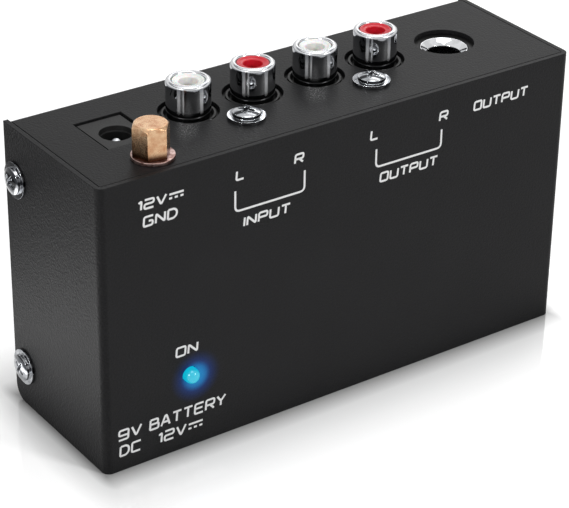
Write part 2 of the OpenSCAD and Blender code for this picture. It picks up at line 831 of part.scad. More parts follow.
// A leaf in a groove of the socket, bent towards the plug
module dc_jack_spring() {
  root_y = dc_y - dc_socket_d / 2 - 0.5;
  color("#d8c070") translate([dc_x - 1, 0, 0]) rotate([90, 0, 90]) linear_extrude(2) polygon([
    [root_y, dc_low + 0.4],
    [root_y + 0.35, dc_low + 0.4],
    [root_y + 0.35, dc_floor + 1],
    [root_y + 1.15, dc_floor + 4],
    [root_y + 0.55, dc_top - 2.3],
    [root_y + 0.2, dc_top - 2.3],
    [root_y + 0.75, dc_floor + 4],
    [root_y, dc_floor + 1.1]
  ]);
}

// Ground terminal --------------------------------------------------------------

module ground_stud() {
  color("#c9a25a") {
    translate([ground_x, ground_y, stud_low]) cylinder(h = stud_top - stud_low, d = stud_d);
    translate([ground_x, ground_y, lug_top + seat])
      cylinder(h = sheet - seat, r = stud_collar_r);
  }
}

module ground_inner_nut() {
  across_corners = (nut_flats + 0.4) / cos(30);
  color("#c9ccd0") translate([ground_x, ground_y, inner_nut_top - inner_nut_h]) difference() {
    cylinder(h = inner_nut_h, d = across_corners, $fn = 6);
    translate([0, 0, -past]) cylinder(h = inner_nut_h + 2 * past, r = stud_d / 2 + 0.02);
  }
}

module ground_lug() {
  color("#c9ccd0") difference() {
    union() {
      translate([ground_x, ground_y, lug_top - lug_t]) cylinder(h = lug_t, r = stud_d / 2 + 1.8);
      bar([ground_x, ground_y - 1.1, lug_top - lug_t],
        [ground_x + lug_reach, ground_y + 1.1, lug_top]);
    }
    translate([ground_x, ground_y, lug_top - lug_t - past])
      cylinder(h = lug_t + 2 * past, r = stud_d / 2 + 0.02);
  }
}

// From the lug's underside down and back to the board
module ground_wire() {
  start = [ground_x + lug_reach - 1, ground_y, lug_top - lug_t - seat / 2];
  finish = [start[0] + 0.2, board_y - seat / 2, block_low - 1];
  color("#2f7d3a") wire([
    start,
    start - [0, 0, 1],
    start - [0, 0, 2],
    start + [0.2, 3, -5],
    [finish[0], (start[1] + finish[1]) / 2, (start[2] + finish[2]) / 2 - 1],
    finish - [0, 3, 0],
    finish - [0, 1.5, 0],
    finish
  ], ground_wire_d, [1, 0, 0]);
}

module ground_washer() {
  color("#c98f6a") translate([ground_x + washer_shift, ground_y, washer_low]) difference() {
    cylinder(h = washer_t, d = washer_d);
    translate([0, 0, -past]) cylinder(h = washer_t + 2 * past, d = washer_hole_d);
  }
}

// A closed hexagonal nut with a turned chamfer at its top
module ground_nut() {
  across_corners = nut_flats / cos(30);
  color("#c98f6a") translate([ground_x, ground_y, nut_low]) difference() {
    intersection() {
      rotate([0, 0, nut_turn]) cylinder(h = nut_h, d = across_corners, $fn = 6);
      cylinder(h = nut_h, r1 = nut_flats / 2 + nut_h, r2 = nut_flats / 2 - 0.2);
    }
    translate([0, 0, -past]) cylinder(h = nut_h - nut_top + past, r = stud_hole_r);
  }
}

// 6.35 mm jack -------------------------------------------------------------------

module phone_jack_body() {
  bore_r = (phone_bore_d + body_bore_more) / 2;
  color("#151515") difference() {
    bar([phone_x - phone_w / 2, phone_y - phone_front, phone_low],
      [phone_x + phone_w / 2, board_y, phone_top]);
    translate([phone_x, phone_y, phone_low - past]) cylinder(h = phone_len + 2 * past, r = bore_r);
    translate([phone_x, phone_y, ferrule_top - ferrule_len])
      cylinder(h = ferrule_len + 2 * past, d = ferrule_d + 0.04);
    for (side = [-1, 1])
      bar([phone_x + side * phone_w / 4 - phone_w / 4 - past, phone_y - 1.7, phone_low + 2],
        [phone_x + side * phone_w / 4 + phone_w / 4 + past, phone_y + 1.7,
          ferrule_top - ferrule_len - 2]);
  }
}

module phone_jack_ferrule() {
  bore_r = phone_bore_d / 2;
  outer_r = ferrule_d / 2;
  bevel = min(ferrule_bevel, (outer_r - bore_r) * 0.9);
  color("#d4d6d8") translate([phone_x, phone_y, 0]) rotate_extrude() polygon([
    [bore_r, ferrule_top - ferrule_len],
    [outer_r, ferrule_top - ferrule_len],
    [outer_r, ferrule_top],
    [bore_r + bevel, ferrule_top],
    [bore_r, ferrule_top - bevel]
  ]);
}

// A leaf in each side window, bent in towards the plug
module phone_jack_springs() {
  window_low = phone_low + 2;
  window_high = ferrule_top - ferrule_len - 2;
  middle = (window_low + window_high) / 2;
  outer = phone_w / 2 - 0.2;
  inner = phone_bore_d / 2 - 0.5;
  color("#d8c070") for (side = [0, 1])
    translate([phone_x, phone_y, 0]) mirror([side, 0, 0]) translate([0, 1.4, 0])
      rotate([90, 0, 0]) linear_extrude(2.8) polygon([
        [outer - leaf_t, window_low],
        [outer, window_low],
        [outer, middle - 3],
        [inner + leaf_t, middle + 2],
        [outer - 1, window_high - 0.5],
        [outer - 1 - leaf_t, window_high - 0.5],
        [inner, middle + 2],
        [outer - leaf_t, middle - 3.2]
      ]);
}

// LED ------------------------------------------------------------------------------

module led_lens() {
  radius = led_d / 2;
  color("#40b8e0") {
    rod_y(led_x, led_z, led_tip_y + radius, led_base_y, radius);
    translate([led_x, led_tip_y + radius, led_z]) sphere(radius);
    rod_y(led_x, led_z, led_base_y - 1, led_base_y, led_flange_d / 2);
  }
}

module led_leads() {
  color("#c9ccd0") for (side = [-1, 1]) {
    x = led_x + side * led_pitch / 2;
    bar([x - lead_w / 2, led_base_y, led_z - lead_w / 2],
      [x + lead_w / 2, board_y, led_z + lead_w / 2]);
  }
}

module led_spacer() {
  color("#1c1c1c") difference() {
    rod_y(led_x, led_z, led_base_y + seat, board_y - seat / 2, spacer_d / 2);
    for (side = [-1, 1]) {
      x = led_x + side * led_pitch / 2;
      bar([x - lead_w / 2 - 0.03, led_base_y, led_z - lead_w / 2 - 0.03],
        [x + lead_w / 2 + 0.03, board_y, led_z + lead_w / 2 + 0.03]);
    }
  }
}

// Circuit board -----------------------------------------------------------------------

module circuit_board() {
  color("#1f5f3a") difference() {
    plate_facing_front(board_back, board_t) polygon([
      [board_left, board_low],
      [box_left - notch_gap, board_low],
      [box_left - notch_gap, box_top_z + notch_gap],
      [box_right + notch_gap, box_top_z + notch_gap],
      [box_right + notch_gap, right_leg_z],
      [board_right, right_leg_z],
      [board_right, board_top],
      [board_left, board_top]
    ]);
    for (p = standoff_points)
      rod_y(p[0], p[1], board_y - past, board_back + past, board_screw_d / 2 + 0.2);
  }
}

module board_standoffs() {
  color("#b8bcc0") for (p = standoff_points) difference() {
    union() {
      rod_y(p[0], p[1], board_back, inner_back, standoff_d / 2);
      rod_y(p[0], p[1], inner_back - past, back - seat, standoff_d / 2 - 1);
    }
    rod_y(p[0], p[1], board_back - past, inner_back, board_screw_d / 2 + 0.02);
  }
}

module board_screws() {
  color("#b8bcc0") for (p = standoff_points)
    translate([p[0], board_y - seat / 2, p[1]]) rotate([90, 0, 0])
      pan_screw(2 * board_screw_d, 1.6, board_screw_d, board_t + 2);
}

module preamp_chip() {
  color("#202022") difference() {
    bar([chip_x - chip_w / 2, board_y - chip_lift - chip_d, row_z - chip_h / 2],
      [chip_x + chip_w / 2, board_y - chip_lift, row_z + chip_h / 2]);
    rod_y(chip_x - chip_w / 2, row_z, board_y - chip_lift - chip_d - past,
      board_y - chip_lift - chip_d + 0.4, 0.8);
  }
}

module chip_legs() {
  leg_t = 0.3;
  leg_y = board_y - chip_lift - chip_d / 2;
  color("#c9ccd0") for (side = [-1, 1], i = [0:3]) {
    x = chip_x + (i - 1.5) * leg_pitch;
    z_out = row_z + side * leg_span / 2;
    z_chip = row_z + side * (chip_h / 2 + seat / 2);
    bar([x - 0.5, leg_y - leg_t / 2, min(z_chip, z_out)],
      [x + 0.5, leg_y + leg_t / 2, max(z_chip, z_out)]);
    bar([x - 0.3, leg_y - leg_t / 2, z_out - leg_t / 2], [x + 0.3, board_y, z_out + leg_t / 2]);
  }
}

// A can capacitor that stands on the board, with a groove near its foot
module can_capacitor(x, z, diameter, height) {
  radius = diameter / 2;
  translate([x, board_y, z]) rotate([90, 0, 0]) difference() {
    cylinder(h = height, r = radius);
    translate([0, 0, 1]) difference() {
      cylinder(h = 0.5, r = radius + past);
      cylinder(h = 0.5, r = radius - 0.25);
    }
  }
}

module electrolytic_capacitors() {
  color("#27335c") for (offset = cap_offsets)
    can_capacitor(chip_x + offset, row_z, cap_d, cap_h);
}

module filter_capacitor() {
  color("#27335c") can_capacitor(left_column_x, filter_z, filter_d, filter_h);
}

module film_capacitors() {
  color("#b5482f") for (x = [left_column_x, right_column_x], z = film_zs)
    bar([x - film_w / 2, board_y - 6.5, z - film_t / 2], [x + film_w / 2, board_y, z + film_t / 2]);
}

module ceramic_capacitors() {
  color("#c98b3a") for (x = [right_column_x - 2.2, right_column_x + 2.2]) {
    translate([x - 0.8, board_y - 3.4, small_row_z]) rotate([0, 90, 0]) cylinder(h = 1.6, r = 1.9);
    for (side = [-1, 1])
      bar([x - 0.25, board_y - 2.4, small_row_z + side * 1.2 - 0.25],
        [x + 0.25, board_y, small_row_z + side * 1.2 + 0.25]);
  }
}

// A small resistor: its body along X, or along Z when upright, with two bent leads
module resistor(x, z, upright) {
  translate([x, board_y - 1.1, z]) rotate([0, upright ? -90 : 0, 0]) {
    rod_x(-1.7, 1.7, 0, 0, 0.8);
    rod_x(-3.1, 3.1, 0, 0, 0.25);
    for (side = [-1, 1]) bar([side * 3 - 0.25, 0, -0.25], [side * 3 + 0.25, 1.1, 0.25]);
  }
}

module resistors() {
  color("#c9b28a") {
    for (offset = row_resistor_offsets) resistor(chip_x + offset, row_z, true);
    for (z = [low_row_z, small_row_z]) resistor(left_column_x, z, false);
  }
}

// A small three-legged can with one flat face
module regulator() {
  color("#202022") difference() {
    rod_y(right_column_x, filter_z, board_y - 6.5, board_y - 2, regulator_r);
    bar([right_column_x - 3, board_y - 7, filter_z - 3],
      [right_column_x + 3, board_y - 1, filter_z - 1.3]);
  }
  color("#c9ccd0") for (i = [-1, 0, 1])
    bar([right_column_x + i * 1.27 - 0.22, board_y - 2.2, filter_z - 0.22],
      [right_column_x + i * 1.27 + 0.22, board_y, filter_z + 0.22]);
}

module diode() {
  color("#303030") {
    rod_x(right_column_x - 2, right_column_x + 2, board_y - 1.4, diode_z, 1.1);
    rod_x(right_column_x - 3.6, right_column_x + 3.6, board_y - 1.4, diode_z, 0.3);
    for (side = [-1, 1])
      bar([right_column_x + side * 3.4 - 0.3, board_y - 1.4, diode_z - 0.3],
        [right_column_x + side * 3.4 + 0.3, board_y, diode_z + 0.3]);
  }
}

// Power switch ----------------------------------------------------------------------------

module switch_frame() {
  color("#b8bcc0") difference() {
    bar([switch_x - switch_w / 2, switch_y - switch_d / 2, switch_low],
      [switch_x + switch_w / 2, switch_y + switch_d / 2, switch_low + switch_h]);
    bar([switch_x - switch_w / 2 + frame_t, switch_y - switch_d / 2 + frame_t,
      switch_low + frame_t],
      [switch_x + switch_w / 2 - frame_t, switch_y + switch_d / 2 - frame_t,
      switch_low + switch_h + past]);
    bar([switch_x - slot_w / 2, switch_y - slot_d / 2, switch_low - past],
      [switch_x + slot_w / 2, switch_y + slot_d / 2, switch_low + frame_t + past]);
  }
}

module switch_base() {
  inset = frame_t + seat / 2;
  color("#8a5a2c") bar(
    [switch_x - switch_w / 2 + inset, switch_y - switch_d / 2 + inset, base_z],
    [switch_x + switch_w / 2 - inset, switch_y + switch_d / 2 - inset, base_z + base_h]);
}

module switch_pins() {
  pin_z = base_z + base_h;
  color("#c9ccd0") for (i = [-1, 0, 1]) {
    x = switch_x + i * 3;
    bar([x - 0.4, switch_y - 0.3, pin_z], [x + 0.4, switch_y + 0.3, pin_z + 1]);
    bar([x - 0.4, switch_y - 0.3, pin_z + 0.6], [x + 0.4, board_y, pin_z + 1]);
  }
}

module switch_knob() {
  foot_d_half = switch_d / 2 - frame_t - knob_gap;
  color("#202022") {
    bar([switch_rest_x - knob_w / 2, switch_y - knob_d / 2, knob_sink],
      [switch_rest_x + knob_w / 2, switch_y + knob_d / 2, knob_foot_z + knob_foot_h]);
    bar([switch_rest_x - knob_foot_w / 2, switch_y - foot_d_half, knob_foot_z],
      [switch_rest_x + knob_foot_w / 2, switch_y + foot_d_half, knob_foot_z + knob_foot_h]);
  }
}

// Battery box -----------------------------------------------------------------------------

module hinge_knuckle(x_low, x_high, hole_r) {
  difference() {
    children();
    rod_x(x_low - past, x_high + past, hinge_y, hinge_z, hole_r);
  }
}

module battery_box() {
  flange_top = hinge_z + knuckle_r + 0.9;
  notch_half = door_knuckle_len / 2 + 0.3;
  half = door_knuckle_len / 2 + door_gap;
  color("#1e1e1e") difference() {
    union() {
      bar([box_left, box_front, box_z], [box_right, flange_face, box_top_z]);
      bar([box_left - flange_end, back, box_z - flange_low],
        [box_right + flange_end, flange_face, flange_top]);
      for (side = [-1, 1]) {
        low = side < 0 ? box_x - half - fixed_knuckle_len : box_x + half;
        rod_x(low, low + fixed_knuckle_len, hinge_y, hinge_z, knuckle_r);
      }
    }
    bar([box_left + box_wall, box_floor_y, box_z + box_wall],
      [box_right - box_wall, flange_face + past, box_top_z - box_wall]);
    bar([box_left + step_w, ledge_y, box_z + step_w],
      [box_right - step_w, flange_face + past, rebate_top]);
    bar([box_x - notch_half, back, rebate_top - past],
      [box_x + notch_half, flange_face + past, hinge_z + knuckle_r + 0.3]);
    bar([box_x - 4, back + 0.4, box_z - flange_low - past],
      [box_x + 4, flange_face + past, box_z + box_wall]);
    rod_x(box_x - hinge_half - past, box_x + hinge_half + past, hinge_y, hinge_z,
      hinge_pin_r + 0.02);
    for (x = box_screw_xs) rod_y(x, box_mid_z, back - past, flange_face + past, 1.2);
    for (z = terminal_zs)
      rod_x(box_left - past, box_left + box_wall + past, battery_y, z, rivet_r + 0.02);
  }
}

module battery_box_screws() {
  color("#b8bcc0") for (x = box_screw_xs)
    translate([x, flange_face + seat / 2, box_mid_z]) rotate([-90, 0, 0])
      pan_screw(4, 1.1, 2, flange_t + sheet + 1.5);
}

module battery_door() {
  arm_front = hinge_y - knuckle_r;
  half = door_knuckle_len / 2;
  grip_x = 7;
  color("#222224") difference() {
    union() {
      bar([box_left + step_w + door_gap, door_back, box_z + step_w + door_gap],
        [box_right - step_w - door_gap, door_face, door_top]);
      bar([box_x - half, arm_front, door_top - door_t], [box_x + half, door_face, hinge_z]);
      rod_x(box_x - half, box_x + half, hinge_y, hinge_z, knuckle_r);
    }
    rod_x(box_x - half - past, box_x + half + past, hinge_y, hinge_z,
      hinge_pin_r + hinge_clearance);
    for (i = [0:3])
      bar([box_x - grip_x, door_face - 0.4, box_z + 4 + 1.6 * i],
        [box_x + grip_x, door_face + past, box_z + 4.8 + 1.6 * i]);
  }
}

module door_hinge_pin() {
  color("#c9ccd0")
    rod_x(box_x - hinge_half, box_x + hinge_half, hinge_y, hinge_z, hinge_pin_r);
}

module battery() {
  color("#3c4652") translate([battery_x0, battery_y, box_mid_z]) rotate([90, 0, 90])
    linear_extrude(battery_len) rounded_outline(battery_d, battery_tall, battery_r);
}

// A solid stud below and an open ring above
module battery_terminals() {
  color("#c9ccd0") {
    rod_x(battery_x0 - terminal_h, battery_x0, battery_y, terminal_zs[0], small_terminal_r);
    difference() {
      rod_x(battery_x0 - terminal_h, battery_x0, battery_y, terminal_zs[1], big_terminal_r);
      rod_x(battery_x0 - terminal_h - past, battery_x0 - 0.4, battery_y, terminal_zs[1],
        small_terminal_r + snap_gap);
    }
  }
}

// A ring that takes the battery's stud, a stud for its ring, and a rivet behind each
module battery_contacts() {
  wall_x = box_left + box_wall;
  flat_t = 0.3;
  color("#d8c070") {
    difference() {
      rod_x(wall_x, battery_x0 - 0.3, battery_y, terminal_zs[0], big_terminal_r);
      rod_x(wall_x + flat_t, battery_x0 + past, battery_y, terminal_zs[0],
        small_terminal_r + snap_gap);
    }
    rod_x(wall_x, wall_x + flat_t, battery_y, terminal_zs[1], big_terminal_r);
    rod_x(wall_x, battery_x0 - 0.6, battery_y, terminal_zs[1], small_terminal_r);
    for (z = terminal_zs) rod_x(box_left - rivet_out, wall_x + flat_t / 2, battery_y, z, rivet_r);
  }
}

// From a rivet, up or down along the board and onto its face
module battery_lead(z, rise) {
  start = [box_left - rivet_out - seat / 2, battery_y, z];
  finish = [start[0] - 2.8, board_y - seat / 2, z + 3 * rise];
  wire([
    start,
    start - [0.35, 0, 0],
    start - [0.7, 0, 0],
    start + [-1.6, -0.8, 0.9 * rise],
    start + [-2.5, -1.2, 2.2 * rise],
    finish - [0, 1, 0],
    finish - [0, 0.5, 0],
    finish
  ], lead_d, [0, 0, 1]);
}

module battery_lead_red() {
  color("#b3202a") battery_lead(terminal_zs[1], 1);
}

module battery_lead_black() {
  color("#18181a") battery_lead(terminal_zs[0], -1);
}

cover();
chassis();
cover_screws();
rubber_feet();
input_jack_block();
output_jack_block();
input_left_shell();
input_right_shell();
output_left_shell();
output_right_shell();
input_left_insulator();
input_right_insulator();
output_left_insulator();
output_right_insulator();
jack_contacts();
jack_block_screws();
dc_jack_body();
dc_jack_pin();
dc_jack_spring();
ground_stud();
ground_inner_nut();
ground_lug();
ground_wire();
ground_washer();
ground_nut();
phone_jack_body();
phone_jack_ferrule();
phone_jack_springs();
led_lens();
led_leads();
led_spacer();
circuit_board();
board_standoffs();
board_screws();
preamp_chip();
chip_legs();
electrolytic_capacitors();
filter_capacitor();
film_capacitors();
ceramic_capacitors();
resistors();
regulator();
diode();
switch_frame();
switch_base();
switch_pins();
switch_knob();
battery_box();
battery_box_screws();
battery_door();
door_hinge_pin();
battery();
battery_terminals();
battery_contacts();
battery_lead_red();
battery_lead_black();
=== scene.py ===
# %% [markdown]
# # A small phono preamp in a folded steel case
# The case stands on its long edge and shows its row of jacks on top. The imported model already has
# every part in its place, in metres, so this lesson only dresses it: it rounds edges that catch
# light, turns the metal rings again with finer steps, and gives each part the finish of its
# material. The first step loads the model.

import math

import bmesh
import bpy
from mathutils import Matrix, Vector


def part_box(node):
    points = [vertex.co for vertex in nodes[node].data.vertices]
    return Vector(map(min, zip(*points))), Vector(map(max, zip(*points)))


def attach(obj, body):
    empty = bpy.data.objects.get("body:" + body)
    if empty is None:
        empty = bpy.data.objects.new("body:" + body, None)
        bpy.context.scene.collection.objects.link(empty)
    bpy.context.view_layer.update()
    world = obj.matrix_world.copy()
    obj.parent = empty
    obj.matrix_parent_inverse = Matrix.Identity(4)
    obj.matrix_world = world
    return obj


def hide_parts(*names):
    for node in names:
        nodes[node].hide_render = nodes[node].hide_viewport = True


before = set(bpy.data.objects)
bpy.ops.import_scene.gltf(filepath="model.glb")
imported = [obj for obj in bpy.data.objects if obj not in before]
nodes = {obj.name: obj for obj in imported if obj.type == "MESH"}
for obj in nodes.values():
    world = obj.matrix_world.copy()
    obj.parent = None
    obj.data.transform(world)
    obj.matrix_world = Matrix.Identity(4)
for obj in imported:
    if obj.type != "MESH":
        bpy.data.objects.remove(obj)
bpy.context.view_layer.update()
MM = 0.001

# %% [markdown]
# ## Sizes that several pieces share
# A node's box says where it is, so the centre of each round part and the planes of the case are
# read from the model. Nothing here is fitted by eye, and each value below is used further down.

# %% Read the planes of the case and the axes of the round parts
cover_low, cover_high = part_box("cover")
FACE_Y = cover_low.y
PANEL_Z = cover_high.z
LEFT_X = cover_low.x


def middle(node):
    """The middle of a node's box."""
    low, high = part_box(node)
    return (low + high) / 2


JACKS = ["input_left", "input_right", "output_left", "output_right"]
jack_axes = {name: middle(name + "_shell") for name in JACKS}
led_axis = middle("led_lens")
print("face y", FACE_Y, "panel z", PANEL_Z, "jacks at x",
      [round(axis.x / MM, 2) for axis in jack_axes.values()])

# %% [markdown]
# ## The camera
# A small object is best shown by a long lens from a little under half a metre, which keeps its
# upright edges nearly parallel. The camera is placed by two angles and a distance from the middle
# of the case: it stands to the left of the labelled face and looks down on the jack panel.

# %% Place the camera
VIEW_AZIMUTH = math.radians(-35.25)
VIEW_ELEVATION = math.radians(28.92)
VIEW_ROLL = math.radians(0.81)
VIEW_DISTANCE = 430.8 * MM
LENS_MM, SENSOR_MM = 142.4, 36
SIDE_STEP = Vector((1.83, 5.88)) * MM

backward = Vector((
    math.sin(VIEW_AZIMUTH) * math.cos(VIEW_ELEVATION),
    -math.cos(VIEW_AZIMUTH) * math.cos(VIEW_ELEVATION),
    math.sin(VIEW_ELEVATION),
))
level_right = Vector((0, 0, 1)).cross(backward).normalized()
level_up = backward.cross(level_right)
right = math.cos(VIEW_ROLL) * level_right + math.sin(VIEW_ROLL) * level_up
up = math.cos(VIEW_ROLL) * level_up - math.sin(VIEW_ROLL) * level_right
aim = Vector((0, 0, PANEL_Z / 2))

lens = bpy.data.cameras.new("lens")
lens.lens = LENS_MM
lens.sensor_width = SENSOR_MM
camera = bpy.data.objects.new("camera", lens)
bpy.context.scene.collection.objects.link(camera)
camera.matrix_world = Matrix((right, up, backward)).transposed().to_4x4()
camera.location = aim + VIEW_DISTANCE * backward - SIDE_STEP.x * right - SIDE_STEP.y * up
bpy.context.scene.camera = camera
print("camera stands at", [round(v, 3) for v in camera.location])

# %% [markdown]
# ## Colours and nodes
# Shaders work in linear light, but a colour is easiest to name by its sRGB hex code, so one
# function turns the code into linear values. Another one adds a node, fills its settings, joins
# its links and gives one of its outputs, and every material below is made with it.

# %% Helpers for materials
def colour(code):
    """An sRGB hex code as the linear colour that a shader expects."""
    parts = [int(code[i:i + 2], 16) / 255 for i in (1, 3, 5)]
    linear = [p / 12.92 if p <= 0.04045 else ((p + 0.055) / 1.055) ** 2.4 for p in parts]
    return (*linear, 1.0)


def fill(node, values):
    """Fills a node; a key is a property in lower case, or the name or number of an input.

    An input takes a plain value, a hex code, or another node's output, which is linked.
    """
    for key, value in values.items():
        if isinstance(key, str) and hasattr(node, key):
            setattr(node, key, value)
        elif isinstance(value, bpy.types.NodeSocket):
            node.id_data.links.new(value, node.inputs[key])
        else:
            node.inputs[key].default_value = colour(value) if isinstance(value, str) else value


def add(tree, kind, values=None, output=0):
    """Adds a node, whose kind is named without ShaderNode, and gives one of its outputs."""
    node = tree.nodes.new("ShaderNode" + kind)
    fill(node, values or {})
    return node.outputs[output]


def new_material(name, values):
    """A material with its shader's plain values; gives it, its tree, its shader and a place."""
    material = bpy.data.materials.new(name)
    material.use_nodes = True
    tree = material.node_tree
    shader = tree.nodes["Principled BSDF"]
    fill(shader, values)
    return material, tree, shader, add(tree, "TexCoord", {}, "Object")


print("black of the case in linear light:", [round(v, 4) for v in colour("#101011")])

# %% [markdown]
# ## Powder coat
# The sheet steel is powder coated: a dry powder is sprayed on and baked, and it flows out into a
# thin black skin with a fine orange-peel grain about 0.3 mm across. The grain is what makes the
# panel sparkle softly, so it goes into the bump and a little into the roughness. It lies deeper
# on the end flaps, where the spray meets the sheet edge on and builds up.

# %% Powder coat for the cover and the chassis
GRAIN = 0.3 * MM
FLAT_DEPTH, FLAP_DEPTH = 0.035 * MM, 0.09 * MM


def powder_coat(name, values):
    """Black powder coat, with more values for its shader."""
    material, tree, shader, where = new_material(name, {
        "Base Color": "#101011", "Roughness": 0.5, "IOR": 1.5, **values})
    grain = add(tree, "TexNoise", {
        "Vector": where, "Scale": 1 / GRAIN, "Detail": 2.0, "Roughness": 0.6})
    cells = add(tree, "TexVoronoi", {
        "Vector": where, "Scale": 0.8 / GRAIN, "feature": "SMOOTH_F1"}, "Distance")
    skin = add(tree, "Math", {"operation": "ADD", 0: grain, 1: cells})
    normal = add(tree, "NewGeometry", {}, "Normal")
    sideways = add(tree, "Math", {
        "operation": "ABSOLUTE", 0: add(tree, "SeparateXYZ", {"Vector": normal}, "X")})
    depth = add(tree, "MapRange", {"Value": sideways, "To Min": FLAT_DEPTH, "To Max": FLAP_DEPTH})
    clouds = add(tree, "TexNoise", {"Vector": where, "Scale": 70.0, "Detail": 3.0})
    fleck = add(tree, "MapRange", {
        "Value": grain, "From Min": 0.4, "From Max": 0.62, "To Min": 0.1, "To Max": 0.75})
    shade = add(tree, "Math", {"operation": "MULTIPLY_ADD", 0: clouds, 1: 0.4, 2: fleck})
    tint = add(tree, "MixRGB", {"Fac": shade, "Color1": "#0a0a0b", "Color2": "#1c1c1d"})
    rough = add(tree, "MapRange", {
        "Value": grain, "From Min": 0.3, "From Max": 0.7, "To Min": 0.4, "To Max": 0.52})
    bump = add(tree, "Bump", {"Strength": 1.0, "Distance": depth, "Height": skin})
    fill(shader, {"Base Color": tint, "Roughness": rough, "Normal": bump})
    return material, tree, shader, where


# The cover's emission carries the painted glow of the LED, and the chassis's emission the painted
# caustics; both are set below.
cover_coat, *cover_parts = powder_coat("powder_coat_cover", {
    "Specular IOR Level": 0.1, "Emission Strength": 1.0})
chassis_coat, *chassis_parts = powder_coat("powder_coat_chassis", {
    "Specular IOR Level": 0.088, "Emission Color": "#ffffff"})
print("powder coat made, grain", GRAIN / MM, "mm")

# %% [markdown]
# ## Light painted on the coat
# The light of the lit LED on the paint is painted into the cover's coat as emission: a bright ring
# close to the LED and a fainter blue one beyond. Both are centred where the camera sees the tip of
# the lens in front of the paint, a little to the right of its axis and below it. On the panel, the
# caustic that the curved nickel of two shells would cast is painted into the chassis's coat as
# emission: a patch of sparkling streaks towards the face, laid along the camera's direction.

# %% Painted glow round the LED and painted caustics before two shells
PAINTED_GLOW_CENTRE = (led_axis.x + 1.1 * MM, FACE_Y, led_axis.z - 0.7 * MM)
NEAR_FROM, NEAR_TO, FAR_FROM, FAR_TO = 1.2 * MM, 3.3 * MM, 1.4 * MM, 5.6 * MM
PAINTED_CAUSTIC_FROM_AXIS = Vector((-4.4, -6.4)) * MM
PAINTED_CAUSTIC_HALF = (6.2 * MM, 2.9 * MM, 1.0 * MM)

tree, shader, where = cover_parts
# Painted glow of the LED: the cover's emission colour, by distance from the glow's centre.
reach = add(tree, "VectorMath", {"operation": "DISTANCE", 0: where, 1: PAINTED_GLOW_CENTRE}, "Value")
near = add(tree, "MapRange", {
    "Value": reach, "From Min": NEAR_FROM, "From Max": NEAR_TO, "To Min": 1.0, "To Max": 0.0,
    "interpolation_type": "SMOOTHSTEP"})
slope = add(tree, "MapRange", {
    "Value": reach, "From Min": FAR_FROM, "From Max": FAR_TO, "To Min": 1.0, "To Max": 0.0})
far = add(tree, "Math", {"operation": "POWER", 0: slope, 1: 1.8})
painted_faint_glow = add(tree, "MixRGB", {"Fac": far, "Color1": "#000000", "Color2": "#063c8c"})
painted_led_glow = add(tree, "MixRGB", {"Fac": near, "Color1": painted_faint_glow, "Color2": "#0878b4"})
fill(shader, {"Emission Color": painted_led_glow})

tree, shader, where = chassis_parts
# Painted caustics before two shells: the chassis's emission strength, in streaked ellipses turned
# along the camera's azimuth.
patches = []
for name in ("input_left", "output_left"):
    centre = jack_axes[name].xy + PAINTED_CAUSTIC_FROM_AXIS
    local = add(tree, "Mapping", {
        "Vector": where, "vector_type": "TEXTURE", "Location": (*centre, PANEL_Z),
        "Rotation": (0, 0, math.radians(90) + VIEW_AZIMUTH), "Scale": PAINTED_CAUSTIC_HALF})
    reach = add(tree, "VectorMath", {"operation": "LENGTH", 0: local}, "Value")
    inside = add(tree, "MapRange", {
        "Value": reach, "To Min": 1.0, "To Max": 0.0, "interpolation_type": "SMOOTHSTEP"})
    caustic_streaks = add(tree, "TexNoise", {"Vector": local, "Scale": 12.0, "Detail": 2.0})
    lit = add(tree, "MapRange", {
        "Value": caustic_streaks, "From Min": 0.5, "From Max": 0.66, "To Min": 0.02, "To Max": 0.17})
    patches.append(add(tree, "Math", {"operation": "MULTIPLY", 0: inside, 1: lit}))
cast = add(tree, "Math", {"operation": "ADD", 0: patches[0], 1: patches[1]})
# The painted caustics drive the emission strength of the chassis's coat.
fill(shader, {"Emission Strength": cast})
print("glow of the LED and", len(patches), "patches of cast light")

# %% [markdown]
# ## Plated and turned metal
# Screws, jack shells and pins are steel or brass under a thin bright plating. Plating is smooth,
# and what tells the eye that it is metal is a strong coloured reflection with a few hairline
# scratches and faint smudges. A bright plating also mirrors the dark cards that a studio hangs
# round its subject. This studio has none, so a painted reflection of them goes into the colour:
# the plating is darker where it mirrors the heights at which they would hang. The nut is darker
# in its lowest 1.7 mm, a painted shade where its foot mirrors the dark panel.

# %% Plated metal
# Painted reflection of dark cards: rises of the reflected ray, and how much of the card's colour
# each gets.
PAINTED_CARD_HEIGHTS = ((-0.46, 0), (-0.36, 1), (0.0, 1), (0.2, 0), (0.5, 0), (0.58, 1), (0.72, 1), (0.8, 0))
SMUDGE_LEVEL = 0.49
PAINTED_SHADE_FROM, PAINTED_SHADE_TO = 0.3 * MM, 1.7 * MM


def painted_card_reflection(tree, tint, dark):
    """Paints a dark reflection into a tint where the plating mirrors a height at which a dark card
    would hang.
    """
    ray = add(tree, "TexCoord", {}, "Reflection")
    rise = add(tree, "SeparateXYZ", {"Vector": ray}, "Z")
    height = add(tree, "MapRange", {"Value": rise, "From Min": -1.0, "From Max": 1.0})
    cards = add(tree, "ValToRGB", {"Fac": height})
    stops = cards.node.color_ramp.elements
    while len(stops) < len(PAINTED_CARD_HEIGHTS):
        stops.new(0.5)
    for stop, (level, share) in zip(stops, PAINTED_CARD_HEIGHTS):
        stop.position = (level + 1) / 2
        stop.color = (share, share, share, 1)
    return add(tree, "MixRGB", {"Fac": cards, "Color1": tint, "Color2": dark})


